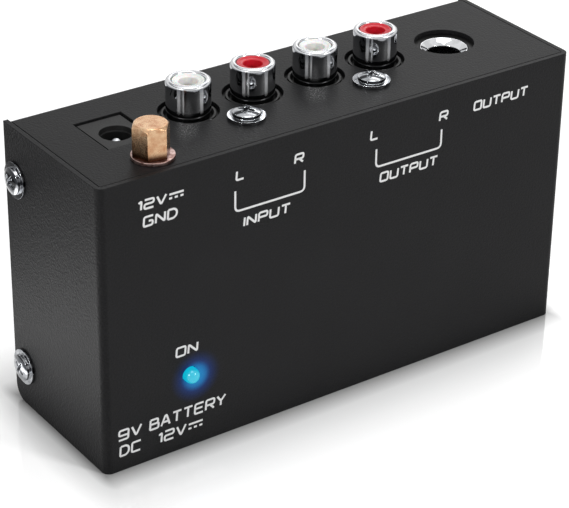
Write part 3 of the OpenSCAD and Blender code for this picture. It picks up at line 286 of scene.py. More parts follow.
def plated(name, base, dark, roughness, scratch_mm=0.25, patch_mm=2.5, patch_edge=0.14,
           painted_card=None):
    """Plated metal with fine scratches, and patches with soft edges where the plating is darker.

    painted_card is the colour of the painted reflection of a studio's dark cards in the plating.
    """
    material, tree, shader, where = new_material(name, {
        "Base Color": base, "Metallic": 1.0, "Roughness": roughness})
    scratch = add(tree, "TexNoise", {"Vector": where, "Scale": 1 / (scratch_mm * MM)})
    smudge = add(tree, "TexNoise", {
        "Vector": where, "Scale": 1 / (patch_mm * MM), "Detail": 3.0})
    patches = add(tree, "MapRange", {
        "Value": smudge, "From Min": SMUDGE_LEVEL - patch_edge / 2,
        "From Max": SMUDGE_LEVEL + patch_edge / 2})
    tint = add(tree, "MixRGB", {"Fac": patches, "Color1": dark, "Color2": base})
    if painted_card:
        tint = painted_card_reflection(tree, tint, painted_card)
    rough = add(tree, "MapRange", {
        "Value": scratch, "From Min": 0.25, "From Max": 0.75, "To Min": roughness * 0.8,
        "To Max": roughness * 1.35})
    bump = add(tree, "Bump", {"Strength": 0.12, "Distance": 0.003 * MM, "Height": scratch})
    fill(shader, {"Base Color": tint, "Roughness": rough, "Normal": bump})
    return material


nickel = plated("bright_nickel_plate", "#d8d9db", "#c9cacc", 0.07)
chrome = plated("bright_zinc_plated_steel", "#d0d2d5", "#84868a", 0.12, patch_mm=2.0,
                patch_edge=0.3, painted_card="#2c2e31")
copper = plated("lacquered_copper_alloy", "#ccac8a", "#a87a58", 0.25, scratch_mm=0.12,
                patch_mm=1.4, patch_edge=0.4)
washer_copper = plated("dull_copper_alloy", "#a48c86", "#745650", 0.32, patch_mm=1.0)
brass = plated("gold_flashed_brass", "#dcc27a", "#c4a860", 0.25)
tin = plated("tinned_steel", "#c8cacd", "#b2b4b8", 0.3)

# Painted shade on the nut: its lowest 1.7 mm is darker, where its foot mirrors the dark panel.
tree = copper.node_tree
shader = tree.nodes["Principled BSDF"]
unshaded_tint = shader.inputs["Base Color"].links[0].from_socket
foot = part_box("ground_nut")[0].z
where = add(tree, "TexCoord", {}, "Object")
above_painted_shade = add(tree, "MapRange", {
    "Value": add(tree, "SeparateXYZ", {"Vector": where}, "Z"), "From Min": foot + PAINTED_SHADE_FROM,
    "From Max": foot + PAINTED_SHADE_TO, "interpolation_type": "SMOOTHSTEP"})
fill(shader, {
    "Base Color": add(tree, "MixRGB", {"Fac": above_painted_shade, "Color1": "#4e3020", "Color2": unshaded_tint})})
print("six platings made")

# %% [markdown]
# ## The nickel of the drawn shells
# A phono jack's shell is drawn from strip, plated, and buffed along its height. The buff leaves a
# few narrow upright bands that are finely scratched, and the rolled rim is rubbed satin as well.
# The bands catch more light than the mirror between them, which is why such a shell looks striped.
# All four jacks repeat at one pitch, so the place is wrapped at that pitch before the bands are
# found by their direction from the jack's axis. Heights are measured from the rim.

# %% Banded nickel
BANDS = ((-57.0, 6.0), (-45.0, 3.0), (2.0, 7.0))
SATIN_FROM, SATIN_TO, FOOT_FROM, FOOT_TO = -0.8 * MM, -0.5 * MM, -5.9 * MM, -4.6 * MM
MIRROR, RUBBED = 0.06, 0.66
SILVER = "#cbccce"


def drawn_nickel(name, first, pitch, rim_z):
    """Mirror nickel with rubbed bands; each band is a direction and a half width in degrees."""
    material, tree, shader, where = new_material(name, {
        "Base Color": SILVER, "Metallic": 1.0, "Roughness": MIRROR})
    local = add(tree, "VectorMath", {
        "operation": "SUBTRACT", 0: where, 1: (first.x, first.y, rim_z)})
    x, y, z = add(tree, "SeparateXYZ", {"Vector": local}).node.outputs
    wrapped = add(tree, "Math", {"operation": "WRAP", 0: x, 1: pitch / 2, 2: -pitch / 2})
    flat = add(tree, "CombineXYZ", {"X": wrapped, "Y": y})
    outward = add(tree, "VectorMath", {"operation": "NORMALIZE", 0: flat})
    rubbed = add(tree, "MapRange", {
        "Value": z, "From Min": SATIN_FROM, "From Max": SATIN_TO, "To Min": 0.0, "To Max": 0.3})
    for degrees, half_width in BANDS:
        way = (math.sin(math.radians(degrees)), -math.cos(math.radians(degrees)), 0)
        near = add(tree, "VectorMath", {"operation": "DOT_PRODUCT", 0: outward, 1: way}, "Value")
        band = add(tree, "MapRange", {
            "Value": near, "From Min": math.cos(math.radians(half_width)), "From Max": 1.0,
            "interpolation_type": "SMOOTHSTEP"})
        rubbed = add(tree, "Math", {"operation": "MAXIMUM", 0: rubbed, 1: band})
    hairline = add(tree, "TexNoise", {"Vector": where, "Scale": 4000.0})
    worn = add(tree, "MapRange", {
        "Value": hairline, "From Min": 0.3, "From Max": 0.6, "To Min": 0.7, "To Max": 1.0})
    wall = add(tree, "MapRange", {"Value": z, "From Min": FOOT_FROM, "From Max": FOOT_TO})
    above = add(tree, "Math", {"operation": "MULTIPLY", 0: rubbed, 1: wall})
    share = add(tree, "Math", {"operation": "MULTIPLY", 0: above, 1: worn})
    rough = add(tree, "MapRange", {"Value": share, "To Min": MIRROR, "To Max": RUBBED})
    # The base colour carries the painted reflection of dark cards.
    fill(shader, {"Base Color": painted_card_reflection(tree, SILVER, "#8e9094"), "Roughness": rough})
    return material


first_axis = jack_axes["input_left"]
shell_nickel = drawn_nickel("buffed_nickel_on_drawn_brass", first_axis,
                            jack_axes["input_right"].x - first_axis.x,
                            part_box("input_left_shell")[1].z)
print(len(BANDS), "bands on each shell")

# %% [markdown]
# ## Moulded plastic and rubber
# The jacks' bodies, the linings of the phono jacks, the battery box and the feet are injection
# moulded. The mould's surface decides the finish: a polished one gives a gloss, a spark-eroded
# one gives a fine matte grain. The family below takes the grain's size and depth, and mixes a
# little colour so that a large face is never quite even.

# %% Moulded plastic
def moulded(name, base, other, roughness, grain_mm, depth_mm, coat=0.0, shine=0.5):
    """Moulded plastic or rubber with a grain of a real size and depth."""
    material, tree, shader, where = new_material(name, {
        "Base Color": base, "Roughness": roughness, "IOR": 1.5, "Coat Weight": coat,
        "Coat Roughness": 0.12, "Specular IOR Level": shine})
    grain = add(tree, "TexNoise", {
        "Vector": where, "Scale": 1 / (grain_mm * MM), "Detail": 3.0})
    flow = add(tree, "TexNoise", {"Vector": where, "Scale": 150.0})
    tint = add(tree, "MixRGB", {"Fac": flow, "Color1": base, "Color2": other})
    rough = add(tree, "MapRange", {
        "Value": grain, "From Min": 0.3, "From Max": 0.7, "To Min": roughness * 0.88,
        "To Max": min(1.0, roughness * 1.12)})
    bump = add(tree, "Bump", {"Strength": 0.4, "Distance": depth_mm * MM, "Height": grain})
    fill(shader, {"Base Color": tint, "Roughness": rough, "Normal": bump})
    return material


white_lining = moulded("polished_white_polypropylene", "#ebebe9", "#e1e1de", 0.28, 0.5, 0.006)
red_lining = moulded("polished_red_polypropylene", "#cf1f30", "#b91828", 0.3, 0.5, 0.006,
                     shine=0.3)
for lining in (white_lining, red_lining):
    fill(lining.node_tree.nodes["Principled BSDF"],
         {"Subsurface Weight": 0.35, "Subsurface Scale": 0.8 * MM})
black_plastic = moulded("satin_black_polyester", "#101010", "#171717", 0.45, 0.25, 0.01,
                        shine=0.16)
grained_black = moulded("spark_grained_black_abs", "#17171a", "#202023", 0.6, 0.3, 0.03,
                        shine=0.25)
rubber = moulded("black_rubber", "#161616", "#1f1f1f", 0.75, 0.4, 0.03)
black_epoxy = moulded("moulded_black_epoxy", "#1b1b1d", "#242426", 0.55, 0.15, 0.012)
phenolic = moulded("brown_phenolic_laminate", "#6d4522", "#5a3819", 0.5, 0.3, 0.01)
print("moulded plastics made")

# %% [markdown]
# ## Wire insulation and the parts on the board
# The wires are insulated with extruded PVC, which is smooth with a waxy shine. The small parts on
# the board are dipped or sleeved: film capacitors in glossy red epoxy, ceramic ones in ochre, the
# round cans in a shrunk blue sleeve. They are hidden in the closed case, and they still get the
# colours and the finish that would be found on opening it.

# %% Insulation and dipped parts
green_pvc = moulded("extruded_green_pvc", "#2c7a3c", "#256a34", 0.35, 0.6, 0.005)
red_pvc = moulded("extruded_red_pvc", "#b0202c", "#9a1a26", 0.35, 0.6, 0.005)
black_pvc = moulded("extruded_black_pvc", "#1a1a1c", "#242426", 0.35, 0.6, 0.005)
red_epoxy = moulded("dipped_red_epoxy", "#a83a24", "#8e2e1c", 0.22, 0.9, 0.02, coat=0.4)
ochre_ceramic = moulded("dipped_ochre_ceramic", "#c08434", "#a8702a", 0.4, 0.4, 0.02)
tan_lacquer = moulded("lacquered_tan_resistor", "#c6ad84", "#b29a72", 0.35, 0.3, 0.01)
print("small parts' finishes made")

# %% [markdown]
# ## The sleeve of the can capacitors
# A can capacitor wears a shrunk plastic sleeve and has a bare aluminium top. The cans all stand
# on the board along Y, so their tops are the points nearest the labelled face, and the bare metal
# is found by its place.

# %% Shrunk sleeve
CAN_TOP = 0.4 * MM


def shrunk_sleeve(name, top_y):
    """Blue sleeve, with bare aluminium on the part of a can that lies before top_y."""
    material, tree, shader, where = new_material(name, {
        "Base Color": "#26345c", "Roughness": 0.3, "Coat Weight": 0.25})
    y = add(tree, "SeparateXYZ", {"Vector": where}, "Y")
    bare = add(tree, "Math", {"operation": "LESS_THAN", 0: y, 1: top_y})
    wrinkle = add(tree, "TexNoise", {"Vector": where, "Scale": 900.0})
    blue = add(tree, "MixRGB", {"Fac": wrinkle, "Color1": "#22305a", "Color2": "#2d3d6c"})
    both = add(tree, "MixRGB", {"Fac": bare, "Color1": blue, "Color2": "#b9bcc0"})
    bump = add(tree, "Bump", {"Strength": 0.3, "Distance": 0.01 * MM, "Height": wrinkle})
    fill(shader, {"Base Color": both, "Metallic": bare, "Normal": bump})
    return material


small_sleeve = shrunk_sleeve("shrunk_blue_sleeve_small",
                             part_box("electrolytic_capacitors")[0].y + CAN_TOP)
large_sleeve = shrunk_sleeve("shrunk_blue_sleeve_large",
                             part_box("filter_capacitor")[0].y + CAN_TOP)
print("sleeves made")

# %% [markdown]
# ## The circuit board
# The board is glass-fibre laminate under green solder mask. Copper tracks show through the mask
# as slightly paler lines on a grid of 2.54 mm, and they stand up a little. A brick pattern gives
# broken straight runs that read as tracks at this scale, and a fine weave gives the laminate.

# %% Solder mask over copper tracks
PITCH = 2.54 * MM
board_mask, tree, shader, where = new_material("green_solder_mask_on_laminate", {
    "Base Color": "#1c5a38", "Roughness": 0.3, "IOR": 1.5, "Coat Weight": 0.2})
flat = add(tree, "Mapping", {"Vector": where, "Rotation": (math.radians(90), 0, 0)})
tracks, copper_lines = add(tree, "TexBrick", {
    "Vector": flat, "Scale": 1.0, "Brick Width": 4 * PITCH, "Row Height": PITCH,
    "Mortar Size": 0.35 * MM, "Mortar Smooth": 0.2, "Color1": "#1a5534", "Color2": "#1d5c39",
    "Mortar": "#2f7d4e"}).node.outputs
weave = add(tree, "TexNoise", {"Vector": where, "Scale": 1600.0})
relief = add(tree, "Math", {"operation": "MULTIPLY_ADD", 0: weave, 1: 0.3, 2: copper_lines})
bump = add(tree, "Bump", {"Strength": 0.4, "Distance": 0.03 * MM, "Height": relief})
fill(shader, {"Base Color": tracks, "Normal": bump})
print("board made, tracks", PITCH / MM, "mm apart")

# %% [markdown]
# ## The battery's jacket
# A 9 V battery is a rolled steel jacket with a printed film round it. The print here is plain:
# dark grey-blue with a copper-coloured band at the terminal end. The band is chosen by the place
# along the battery, and a fine brushed noise makes the film look like foil.

# %% Printed foil jacket
BAND = 11 * MM
battery_foil, tree, shader, where = new_material("printed_foil_jacket", {
    "Base Color": "#2c3440", "Metallic": 0.7, "Roughness": 0.36})
x = add(tree, "SeparateXYZ", {"Vector": where}, "X")
band = add(tree, "Math", {"operation": "LESS_THAN", 0: x, 1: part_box("battery")[0].x + BAND})
stretch = add(tree, "Mapping", {"Vector": where, "Scale": (0.05, 1.0, 1.0)})
brushing = add(tree, "TexNoise", {"Vector": stretch, "Scale": 3000.0})
film = add(tree, "MixRGB", {"Fac": band, "Color1": "#2c3440", "Color2": "#b0703c"})
rough = add(tree, "MapRange", {"Value": brushing, "To Min": 0.28, "To Max": 0.46})
fill(shader, {"Base Color": film, "Roughness": rough})
print("battery foil made, band", BAND / MM, "mm")

# %% [markdown]
# ## The lit LED and the printed legends
# The LED is a lens of clear cyan epoxy with the lit die inside, so it glows evenly and its tip
# still shows a gloss. The legends on the labelled face are screen-printed in off-white ink, which
# is matte and very slightly uneven where the mesh of the screen let it through.

# %% Lens, die and ink
lens_epoxy, tree, shader, where = new_material("lit_cyan_epoxy", {
    "Base Color": "#0c5c6c", "Roughness": 0.12, "IOR": 1.54, "Coat Weight": 0.3,
    "Emission Color": "#08b4d0", "Emission Strength": 0.85})
cloud = add(tree, "TexNoise", {"Vector": where, "Scale": 900.0, "Detail": 1.0})
tint = add(tree, "MixRGB", {"Fac": cloud, "Color1": "#0c5464", "Color2": "#107080"})
fill(shader, {"Base Color": tint})

die_glow, tree, shader, where = new_material("lit_die", {
    "Base Color": "#c8f4ff", "Roughness": 0.5, "Emission Color": "#70e4f8",
    "Emission Strength": 1.4})
phosphor = add(tree, "TexNoise", {"Vector": where, "Scale": 4000.0})
tint = add(tree, "MixRGB", {"Fac": phosphor, "Color1": "#b4ecff", "Color2": "#e0faff"})
fill(shader, {"Base Color": tint})

ink, tree, shader, where = new_material("screen_printed_white_ink", {
    "Base Color": "#dcdcdc", "Roughness": 0.6})
mesh_marks = add(tree, "TexNoise", {"Vector": where, "Scale": 5000.0, "Detail": 1.0})
tint = add(tree, "MixRGB", {"Fac": mesh_marks, "Color1": "#cfcfcf", "Color2": "#e8e8e8"})
fill(shader, {"Base Color": tint})
print("lens, die and ink made")

# %% [markdown]
# ## Turning a bmesh into a finished piece
# Every piece ends the same way: it becomes an object that sits at the origin with its place in its
# mesh, it gets its material, and it rides on the body that carries it. Faces are shaded smooth,
# and a Weighted Normal modifier keeps large flat faces flat while their thin rounded edges still
# catch light.

# %% The last steps of a piece
SHARP_FROM = math.radians(50)
FLAT_WEIGHT = 80


def publish(bm, name, material, body, slot, *stands_for, flats=True):
    """Makes the object, rides it on its body and hides the nodes that it stands for."""
    mesh = bpy.data.meshes.new(name)
    bm.to_mesh(mesh)
    bm.free()
    mesh.materials.append(material)
    mesh.shade_smooth()
    mesh.set_sharp_from_angle(angle=SHARP_FROM)
    piece = bpy.data.objects.new(name, mesh)
    bpy.context.scene.collection.objects.link(piece)
    if flats:
        keep = piece.modifiers.new("flats", "WEIGHTED_NORMAL")
        keep.weight = FLAT_WEIGHT
        keep.keep_sharp = True
    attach(piece, body)
    if stands_for:
        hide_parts(*stands_for)
    return piece


def round_edges(bm, size_mm, from_degrees=32, segments=2):
    """Rounds every edge whose faces meet at more than from_degrees."""
    bm.normal_update()
    hard = [e for e in bm.edges
            if len(e.link_faces) == 2 and e.calc_face_angle(0) > math.radians(from_degrees)]
    bmesh.ops.bevel(bm, geom=hard, offset=size_mm * MM, offset_type="OFFSET", segments=segments,
                    profile=0.5, affect="EDGES", clamp_overlap=True, material=-1)
    return len(hard)


print("publish and round_edges are ready")

# %% [markdown]
# ## Softened copies of the model's parts
# Sheet metal, mouldings and screw heads have no razor edges: each edge has a small radius that
# draws a thin bright line in the light. A copy of the node's mesh has its loose triangles merged,
# its flat faces joined, and its hard edges bevelled by that radius, so the shape stays the
# model's own.

# %% Copy a node and round its edges
MERGE_WITHIN = 0.002 * MM
FLAT_WITHIN = math.radians(0.8)


def softened(node, material, slot, edge_mm, body="case"):
    """A copy of a node with its hard edges rounded, which stands for the node."""
    bm = bmesh.new()
    bm.from_mesh(nodes[node].data)
    bmesh.ops.remove_doubles(bm, verts=bm.verts, dist=MERGE_WITHIN)
    bmesh.ops.dissolve_limit(bm, angle_limit=FLAT_WITHIN, verts=bm.verts, edges=bm.edges)
    count = round_edges(bm, edge_mm)
    piece = publish(bm, node + "_piece", material, body, slot, node)
    print(node, "edges rounded:", count, "faces:", len(piece.data.polygons))


# %% [markdown]
# ## The case
# The case is two folded sheets. The cover is the labelled face with a flap at each end, and the
# chassis is the jack panel, the back plate and the base. Laser-cut sheet that has been coated has
# an edge radius of about a tenth of a millimetre, and that is what shows along every cut edge.

# %% Cover and chassis
softened("cover", cover_coat, "steel_coat", 0.12)
softened("chassis", chassis_coat, "steel_coat", 0.12)

# %% [markdown]
# ## Screws, feet and mouldings
# The screw heads, the nut, the feet and the black mouldings keep the model's shapes too. Each gets
# the edge radius that its making leaves: about 0.05 mm on headed screws, 0.1 mm on the turned nut
# and on the battery box, and 0.2 mm on rubber.

# %% Softened small parts
softened("cover_screws", chrome, "screw_chrome", 0.05)
softened("jack_block_screws", chrome, "screw_chrome", 0.05)
softened("ground_nut", copper, "terminal_copper", 0.09, "ground_nut")
softened("rubber_feet", rubber, "rubber_black", 0.2)
softened("dc_jack_body", black_plastic, "jack_black", 0.08)
softened("input_jack_block", black_plastic, "jack_black", 0.05)
softened("output_jack_block", black_plastic, "jack_black", 0.05)
softened("phone_jack_body", black_plastic, "jack_black", 0.1)
softened("switch_knob", black_plastic, "jack_black", 0.15, "switch_knob")
softened("battery_box", grained_black, "box_black", 0.12)
softened("battery_door", grained_black, "box_black", 0.12, "battery_door")
softened("battery_box_screws", tin, "tin_plate", 0.04)
softened("battery", battery_foil, "battery_wrap", 0.25)
softened("preamp_chip", black_epoxy, "part_black", 0.1)
softened("film_capacitors", red_epoxy, "film_red", 0.5)
softened("electrolytic_capacitors", small_sleeve, "can_blue", 0.12)
softened("filter_capacitor", large_sleeve, "can_blue", 0.15)
softened("switch_frame", tin, "tin_plate", 0.06)

# %% [markdown]
# ## Turned rings
# A phono jack's shell, its lining, the ferrule of the large jack and the washer are bodies of
# revolution. The best way to make one is to draw half of its section and spin it round the axis,
# as a lathe would. The section is a closed chain of edges given as radius and height, so the spun
# body is closed as well, and a hundred steps keep its rim smooth.

# %% Spin a closed section
def turned(section, centre, steps=100):
    """A bmesh spun round an upright axis; section is a closed loop of (radius, height)."""
    bm = bmesh.new()
    loop = [bm.verts.new((centre.x + r, centre.y, z)) for r, z in section]
    edges = [bm.edges.new((a, b)) for a, b in zip(loop, loop[1:] + loop[:1])]
    bmesh.ops.spin(bm, geom=loop + edges, cent=(centre.x, centre.y, 0), axis=(0, 0, 1),
                   angle=math.tau, steps=steps, use_merge=True)
    bmesh.ops.remove_doubles(bm, verts=bm.verts, dist=0.001 * MM)
    bmesh.ops.recalc_face_normals(bm, faces=bm.faces)
    return bm


def arc(centre_r, centre_z, radius, start, stop, count=6):
    """Points on an arc of a section, from the start angle to the stop angle in degrees."""
    angles = [math.radians(start + (stop - start) * i / count) for i in range(count + 1)]
    return [(centre_r + radius * math.cos(a), centre_z + radius * math.sin(a)) for a in angles]


print("turned and arc are ready")

# %% [markdown]
# ## The shells of the phono jacks
# Each shell is a drawn nickel-plated cup whose mouth is curled inwards into a round rim. Just
# above the panel it has a small shoulder that a plug's sleeve stops at. The rolled rim is drawn
# as two arcs, because its roundness is what makes the bright ring seen from above.

# %% Four nickel shells
SHELL_WALL = 0.4 * MM
RIM_R = 0.4 * MM
RIM_EDGE = 0.65 * MM
RIM_W = 1.15 * MM
SHOULDER_Z = PANEL_Z + 0.3 * MM
SHOULDER_IN = 0.3 * MM
SHOULDER_R = 0.12 * MM

for name, axis in jack_axes.items():
    low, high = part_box(name + "_shell")
    outer = (high.x - low.x) / 2
    inner = outer - SHELL_WALL
    root = outer - SHOULDER_IN
    curl_z = high.z - RIM_R
    section = [(root - SHELL_WALL, low.z), (root, low.z), (root, SHOULDER_Z - 0.1 * MM)]
    section += arc(outer - SHOULDER_R, SHOULDER_Z + SHOULDER_R, SHOULDER_R, -90, 0, 3)
    section += arc(outer - RIM_EDGE, high.z - RIM_EDGE, RIM_EDGE, 0, 90, 10)
    section += arc(outer - RIM_W + RIM_R, curl_z, RIM_R, 90, 250, 10)
    section += [(inner, curl_z - RIM_R * 0.96), (inner, SHOULDER_Z - SHELL_WALL),
                (root - SHELL_WALL, SHOULDER_Z - SHELL_WALL)]
    publish(turned(section, axis), name + "_shell_piece", shell_nickel, "case", "jack_chrome",
            name + "_shell", flats=False)
print("shells", round(outer * 2 / MM, 2), "mm across")

# %% [markdown]
# ## The linings of the phono jacks
# Inside each shell sits a moulded ring, white for left and red for right, dished towards the hole
# that takes the plug's pin. Its top is a shallow cone with soft edges, and a fine step runs round
# it where the mould's core met the cavity.

# %% Four moulded linings
HOLE_R = 1.8 * MM
HOLE_EDGE = 0.2 * MM
TOP_LIFT = 0.15 * MM
LIP_R = 0.12 * MM
LEDGE = 0.45 * MM

for name, axis in jack_axes.items():
    low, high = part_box(name + "_insulator")
    body_r = (high.x - low.x) / 2
    neck_r = body_r - RIM_W + SHELL_WALL
    root_r = body_r - SHOULDER_IN
    step_z = SHOULDER_Z - SHELL_WALL
    top_z = high.z + TOP_LIFT
    section = [(HOLE_R, low.z), (root_r, low.z), (root_r, step_z - 0.05 * MM), (body_r, step_z),
               (body_r, high.z - LEDGE), (neck_r, high.z - LEDGE)]
    section += arc(neck_r - LIP_R, top_z - LIP_R, LIP_R, 0, 90, 4)
    section += [(neck_r - 0.35 * MM, top_z), (neck_r - 0.45 * MM, top_z - 0.1 * MM)]
    section += arc(HOLE_R + HOLE_EDGE, top_z - LEDGE, HOLE_EDGE, 80, 180, 5)
    left = name.endswith("left")
    publish(turned(section, axis), name + "_lining_piece", white_lining if left else red_lining,
            "case", "jack_white" if left else "jack_red", name + "_insulator", flats=False)
print("linings with holes", HOLE_R * 2 / MM, "mm across")

# %% [markdown]
# ## The ferrule of the large jack and the washer of the terminal
# The ferrule is a nickel-plated tube whose mouth has a wide bevel that guides the plug in. The
# washer is turned from the same coppery alloy as the nut, with rounded edges.

# %% Ferrule and washer
low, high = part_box("phone_jack_ferrule")
outer, bore, lead, edge_r = (high.x - low.x) / 2, 3.3 * MM, 1.2 * MM, 0.15 * MM
section = [(bore, low.z), (outer, low.z), (outer, high.z - edge_r)]
section += arc(outer - edge_r, high.z - edge_r, edge_r, 0, 90, 4)
section += [(bore + lead, high.z), (bore + lead * 0.94, high.z - 0.03 * MM),
            (bore + 0.1 * MM, high.z - lead + 0.07 * MM), (bore, high.z - lead - 0.05 * MM)]
publish(turned(section, middle("phone_jack_ferrule")), "phone_jack_ferrule_piece", nickel, "case",
        "jack_chrome", "phone_jack_ferrule")

low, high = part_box("ground_washer")
outer, bore, edge_r = (high.x - low.x) / 2, 2.4 * MM, 0.08 * MM
section = [(bore, low.z), (outer - edge_r, low.z)]
section += arc(outer - edge_r, low.z + edge_r, edge_r, -60, 0, 3)
section += arc(outer - edge_r, high.z - edge_r, edge_r, 0, 90, 4)
section += [(bore, high.z)]
publish(turned(section, middle("ground_washer")), "ground_washer_piece", washer_copper,
        "ground_washer", "terminal_copper", "ground_washer")
print("washer", round(outer * 2 / MM, 2), "mm across")

# %% [markdown]
# ## The LED
# The LED is a 3 mm lens with a domed tip, cast round a tiny lit die in a reflector cup. The lens
# is spun like the rings, but its section starts and ends on the axis, so the points there are
# merged into poles. The spun body is made upright at the origin and then laid down along the Y
# axis. Heights are measured down from the tip.

# %% Lens and die
LED_R = 1.5 * MM
LED_RIM = 1 * MM
DIE = ((0, -3.2), (0.55, -3.2), (0.7, -2.6), (0, -2.6))
ORIGIN = Vector((0, 0, 0))


def laid_down(bm, spot):
    """Lays a body down, so that its top points out of the labelled face, and moves it to spot."""
    bmesh.ops.rotate(bm, verts=bm.verts, cent=ORIGIN,
                     matrix=Matrix.Rotation(math.radians(90), 3, "X"))
    bmesh.ops.translate(bm, verts=bm.verts, vec=spot)
    return bm


low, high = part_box("led_lens")
tip = (led_axis.x, low.y, led_axis.z)
rim_r, length = (high.x - low.x) / 2, high.y - low.y
section = [(0, -length), (rim_r, -length), (rim_r, -length + LED_RIM), (LED_R, -length + LED_RIM)]
section += arc(0, -LED_R, LED_R, 0, 90, 14)
publish(laid_down(turned(section, ORIGIN, 48), tip), "led_lens_piece", lens_epoxy, "case",
        "led_lens", "led_lens")

section = [(r * MM, z * MM) for r, z in DIE]
publish(laid_down(turned(section, ORIGIN, 24), tip), "led_die_piece", die_glow, "case", "led_lens")
print("lens", round(length / MM, 2), "mm long")

# %% [markdown]
# ## Wires
# The three wires run from joint to joint inside the case and are held at both ends. A curve with
# automatic handles through the same points as the model's wires gives the same gentle bends, and
# a round bevel gives it the thickness of the insulation.

# %% Insulated wires
def tube(points, radius, smooth=True, sides=4):
    """A mesh tube with closed ends along points, through bends if smooth and corners if not."""
    path = bpy.data.curves.new("path", "CURVE")
    path.dimensions = "3D"
    path.bevel_depth = radius
    path.bevel_resolution = sides
    path.use_fill_caps = True
    path.resolution_u = 8
    spline = path.splines.new("BEZIER" if smooth else "POLY")
    if smooth:
        spline.bezier_points.add(len(points) - 1)
        for knot, point in zip(spline.bezier_points, points):
            knot.co = point
            knot.handle_left_type = knot.handle_right_type = "AUTO"
    else:
        spline.points.add(len(points) - 1)
        for knot, point in zip(spline.points, points):
            knot.co = (*point, 1.0)
    holder = bpy.data.objects.new("path", path)
    bpy.context.scene.collection.objects.link(holder)
    bpy.context.view_layer.update()
    finished = holder.evaluated_get(bpy.context.evaluated_depsgraph_get())
    mesh = bpy.data.meshes.new_from_object(finished)
    bpy.data.objects.remove(holder)
    bpy.data.curves.remove(path)
    return mesh


def wire(node, points_mm, diameter_mm, material, slot):
    """An insulated wire that stands for a node of the model."""
    mesh = tube([Vector(p) * MM for p in points_mm], diameter_mm / 2 * MM)
    bm = bmesh.new()
    bm.from_mesh(mesh)
    bpy.data.meshes.remove(mesh)
    bmesh.ops.remove_doubles(bm, verts=bm.verts, dist=0.001 * MM)
    publish(bm, node + "_piece", material, "case", slot, node)
    print(node, "has", len(points_mm), "points")


BOARD_Y = 8.375
LEADS = (("battery_lead_red", 26.1, 1, red_pvc, "wire_red"),
         ("battery_lead_black", 13.4, -1, black_pvc, "wire_black"))
for node, z, way, material, slot in LEADS:
    x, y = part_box(node)[1].x / MM, 7.25
    wire(node, [(x, y, z), (x - 0.7, y, z), (x - 1.6, y - 0.8, z + 0.9 * way),
                (x - 2.5, y - 1.2, z + 2.2 * way), (x - 2.8, BOARD_Y - 1, z + 3 * way),
                (x - 2.8, BOARD_Y, z + 3 * way)], 1.2, material, slot)
x, y, z = -31.3, -10.8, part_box("ground_wire")[1].z / MM
wire("ground_wire", [(x, y, z), (x, y, z - 2), (x + 0.2, y + 3, z - 5), (x + 0.2, -1.2, 49.7),
                     (x + 0.2, 5.4, 45), (x + 0.2, BOARD_Y, 45)], 1.3, green_pvc, "wire_green")

# %% [markdown]
# ## Parts that keep the model's mesh
# The remaining parts are small, hidden or already round enough, so they stay as the model has
# them and only get their finish. A table from finish to nodes keeps this readable.

# %% Finishes for the carried-over nodes
FINISHES = {
    brass: ["jack_contacts", "phone_jack_springs", "battery_contacts"],
    copper: ["ground_stud"],
    tin: ["dc_jack_pin", "dc_jack_spring", "ground_inner_nut", "ground_lug", "led_leads",
          "board_standoffs", "board_screws", "chip_legs", "switch_pins", "door_hinge_pin",
          "battery_terminals"],
    black_plastic: ["led_spacer"],
    board_mask: ["circuit_board"],
    black_epoxy: ["regulator", "diode"],
    ochre_ceramic: ["ceramic_capacitors"],
    tan_lacquer: ["resistors"],
    phenolic: ["switch_base"],
}
for finish, names in FINISHES.items():
    for name in names:
        nodes[name].material_slots[0].material = finish
print(sum(len(names) for names in FINISHES.values()), "nodes keep the model's mesh")

# %% [markdown]
# ## The printed legends
# The face is printed with plain stroke letters that say what each connector does. Each letter is
# one to three strokes on a small grid, with its corners rounded. A stroke is drawn as a thin tube
# and then pressed nearly flat on the face, which gives ink with an even width.

# %% Stroke letters
INK_W = 0.42
LETTERS = {
    "A": [[(0, 0), (0.42, 1), (0.58, 1), (1, 0)], [(0.16, 0.34), (0.84, 0.34)]],
    "B": [[(0, 0), (0, 1)], [(0, 1), (0.9, 1), (0.9, 0.53), (0, 0.53)],
          [(0.8, 0.53), (1, 0.53), (1, 0), (0, 0)]],
    "C": [[(1, 1), (0, 1), (0, 0), (1, 0)]],
    "D": [[(0, 0), (0, 1)], [(0, 1), (0.7, 1), (1, 0.72), (1, 0.28), (0.7, 0), (0, 0)]],
    "E": [[(1, 1), (0, 1), (0, 0), (1, 0)], [(0, 0.52), (0.9, 0.52)]],
    "G": [[(1, 1), (0, 1), (0, 0), (1, 0), (1, 0.5), (0.55, 0.5)]],
    "I": [[(0, 0), (0, 1)]],
    "L": [[(0, 1), (0, 0), (1, 0)]],
    "N": [[(0, 0), (0, 1), (1, 0), (1, 1)]],
    "O": [[(0.5, 1), (0, 1), (0, 0), (1, 0), (1, 1), (0.5, 1)]],
    "P": [[(0, 0), (0, 1), (1, 1), (1, 0.45), (0, 0.45)]],
    "R": [[(0, 0), (0, 1), (1, 1), (1, 0.45), (0, 0.45)], [(0.5, 0.45), (1, 0)]],
    "T": [[(0, 1), (1, 1)], [(0.5, 1), (0.5, 0)]],
    "U": [[(0, 1), (0, 0), (1, 0), (1, 1)]],
    "V": [[(0, 1), (0.5, 0), (1, 1)]],
    "Y": [[(0, 1), (0.5, 0.45), (1, 1)], [(0.5, 0.45), (0.5, 0)]],
    "1": [[(0, 0.78), (0.3, 1), (0.3, 0)]],
    "2": [[(0, 1), (1, 1), (1, 0.52), (0, 0.52), (0, 0), (1, 0)]],
    "9": [[(1, 0.46), (0, 0.46), (0, 1), (1, 1), (1, 0), (0, 0)]],
    "=": [[(0, 0.8), (1.6, 0.8)], [(0, 0.34), (0.34, 0.34)], [(0.63, 0.34), (0.97, 0.34)],
          [(1.26, 0.34), (1.6, 0.34)]],
}
NARROW = {"I": 0.0, "1": 0.3, "=": 1.6}
GAP = 0.36
SLANT = 0.07


